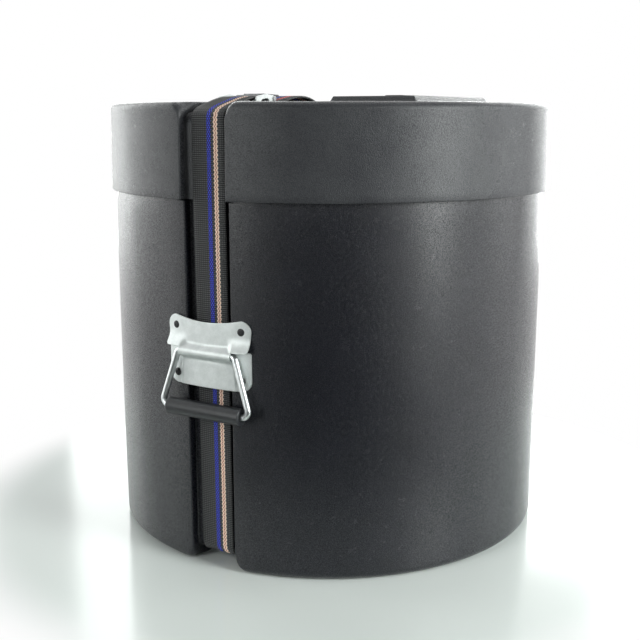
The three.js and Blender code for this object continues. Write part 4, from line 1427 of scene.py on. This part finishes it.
for name, turn, brightness in (
    ("front_left", -48, 4.7), ("side_left", -64, 0.7), ("left", -100, 3.1), ("rear_left", -135, 3.4),
    ("behind_left", -165, 3.5), ("front_right", 52, 13.0), ("right", 94, 3.3), ("rear_right", 146, 3.4),
):
    soft_box(name, turn, brightness)
soft_box("behind_right", 162, 9.0, height=0.45, size=(0.6, 0.9))
soft_box("side_right", 64, 4.5, height=0.98, size=(0.6, 1.1))
soft_box("front", 0, 0.6, distance=2.2, height=0.7, size=(1.6, 1.2))
soft_box("overhead", 0, 0.4, distance=0.02, height=2.4, size=(1.6, 1.6))

# %% World
DARK_ROOM = 0.05
SWEEP_EDGE = (-0.2, 0.3)
world = bpy.data.worlds.new("studio")
scene.world = world
world.use_nodes = True
world.node_tree.nodes.clear()
start = Value(world.node_tree)
camera_ray = start.node("ShaderNodeLightPath")
glass_ray = camera_ray.output("Is Transmission Ray")
glossy_ray = camera_ray.output("Is Glossy Ray")
facing = start.node("ShaderNodeTexCoord").vector("DOT_PRODUCT", tuple(FRONT)).output("Value")
others = DARK_ROOM * (1 - glossy_ray) + glossy_ray * (1 - facing.step(*SWEEP_EDGE))
strength = camera_ray.math("MAXIMUM", glass_ray).math("MAXIMUM", others)
background = start.node("ShaderNodeBackground", {"Color": (1, 1, 1, 1), "Strength": strength})
start.node("ShaderNodeOutputWorld", {"Surface": background})

# %% [markdown]
# The floor is a pale, smooth sheet. It ends a hand's width in front of the case, so that the case's front
# mirrors the dark room, and runs far out beside and behind it, so that the sides mirror a white ground. The
# camera sees it fade into the white background, and glossy surfaces find it white further out.

# %% Floor
FLOOR_FRONT = 0.46
FLOOR_BACK = 2.4
FLOOR_FADE = (0.36, 0.455)
FLOOR_FAR = (0.45, 0.8)
FLOOR_TURN = (0.1, 0.7)


def floor_reach(angle):
    """How far the floor runs from the case's axis in this direction."""
    ahead = FRONT.x * math.cos(angle) + FRONT.y * math.sin(angle)
    return FLOOR_BACK + (FLOOR_FRONT - FLOOR_BACK) * eased(ahead, *FLOOR_TURN)


FLOOR_STEPS = 96
FLOOR_RINGS = 7
angles = spread(0, 2 * HALF_TURN, FLOOR_STEPS)[:-1]
outline = [(floor_reach(a) * math.cos(a), floor_reach(a) * math.sin(a)) for a in angles]
points = [
    (share * x, share * y + AXIS_Y, 0) for share in spread(0.1, 1, FLOOR_RINGS - 1) for x, y in outline
]
faces = [range(FLOOR_STEPS)]
for near in range(0, (FLOOR_RINGS - 1) * FLOOR_STEPS, FLOOR_STEPS):
    far = near + FLOOR_STEPS
    for i in range(FLOOR_STEPS):
        j = (i + 1) % FLOOR_STEPS
        faces.append((near + i, far + i, far + j, near + j))
floor = mesh_object("floor", points, faces=faces)

# %% Floor finish
floor_finish, start, where = new_finish("pale_floor")
paint = start.node("ShaderNodeBsdfPrincipled", {
    "Base Color": where.noise(0.4, 2).step(0.3, 0.7).mix((0.84, 0.90, 0.87, 1), (0.87, 0.92, 0.89, 1)),
    "Roughness": 0.12 + 0.05 * where.noise(0.3, 1),
    "Specular IOR Level": 0.5,
})
white = start.node("ShaderNodeEmission", {"Color": (1, 1, 1, 1), "Strength": 1})
away = where.vector("SUBTRACT", (0, AXIS_Y, 0)).vector("LENGTH").output("Value")
eye = start.node("ShaderNodeLightPath")
mirrored = away.step(*FLOOR_FAR) * eye.output("Is Glossy Ray")
fade = (away.step(*FLOOR_FADE) * eye).math("MAXIMUM", mirrored)
mixed = start.node("ShaderNodeMixShader", {0: fade, 1: paint, 2: white})
start.node("ShaderNodeOutputMaterial", {"Surface": mixed})
floor.data.materials.append(floor_finish)
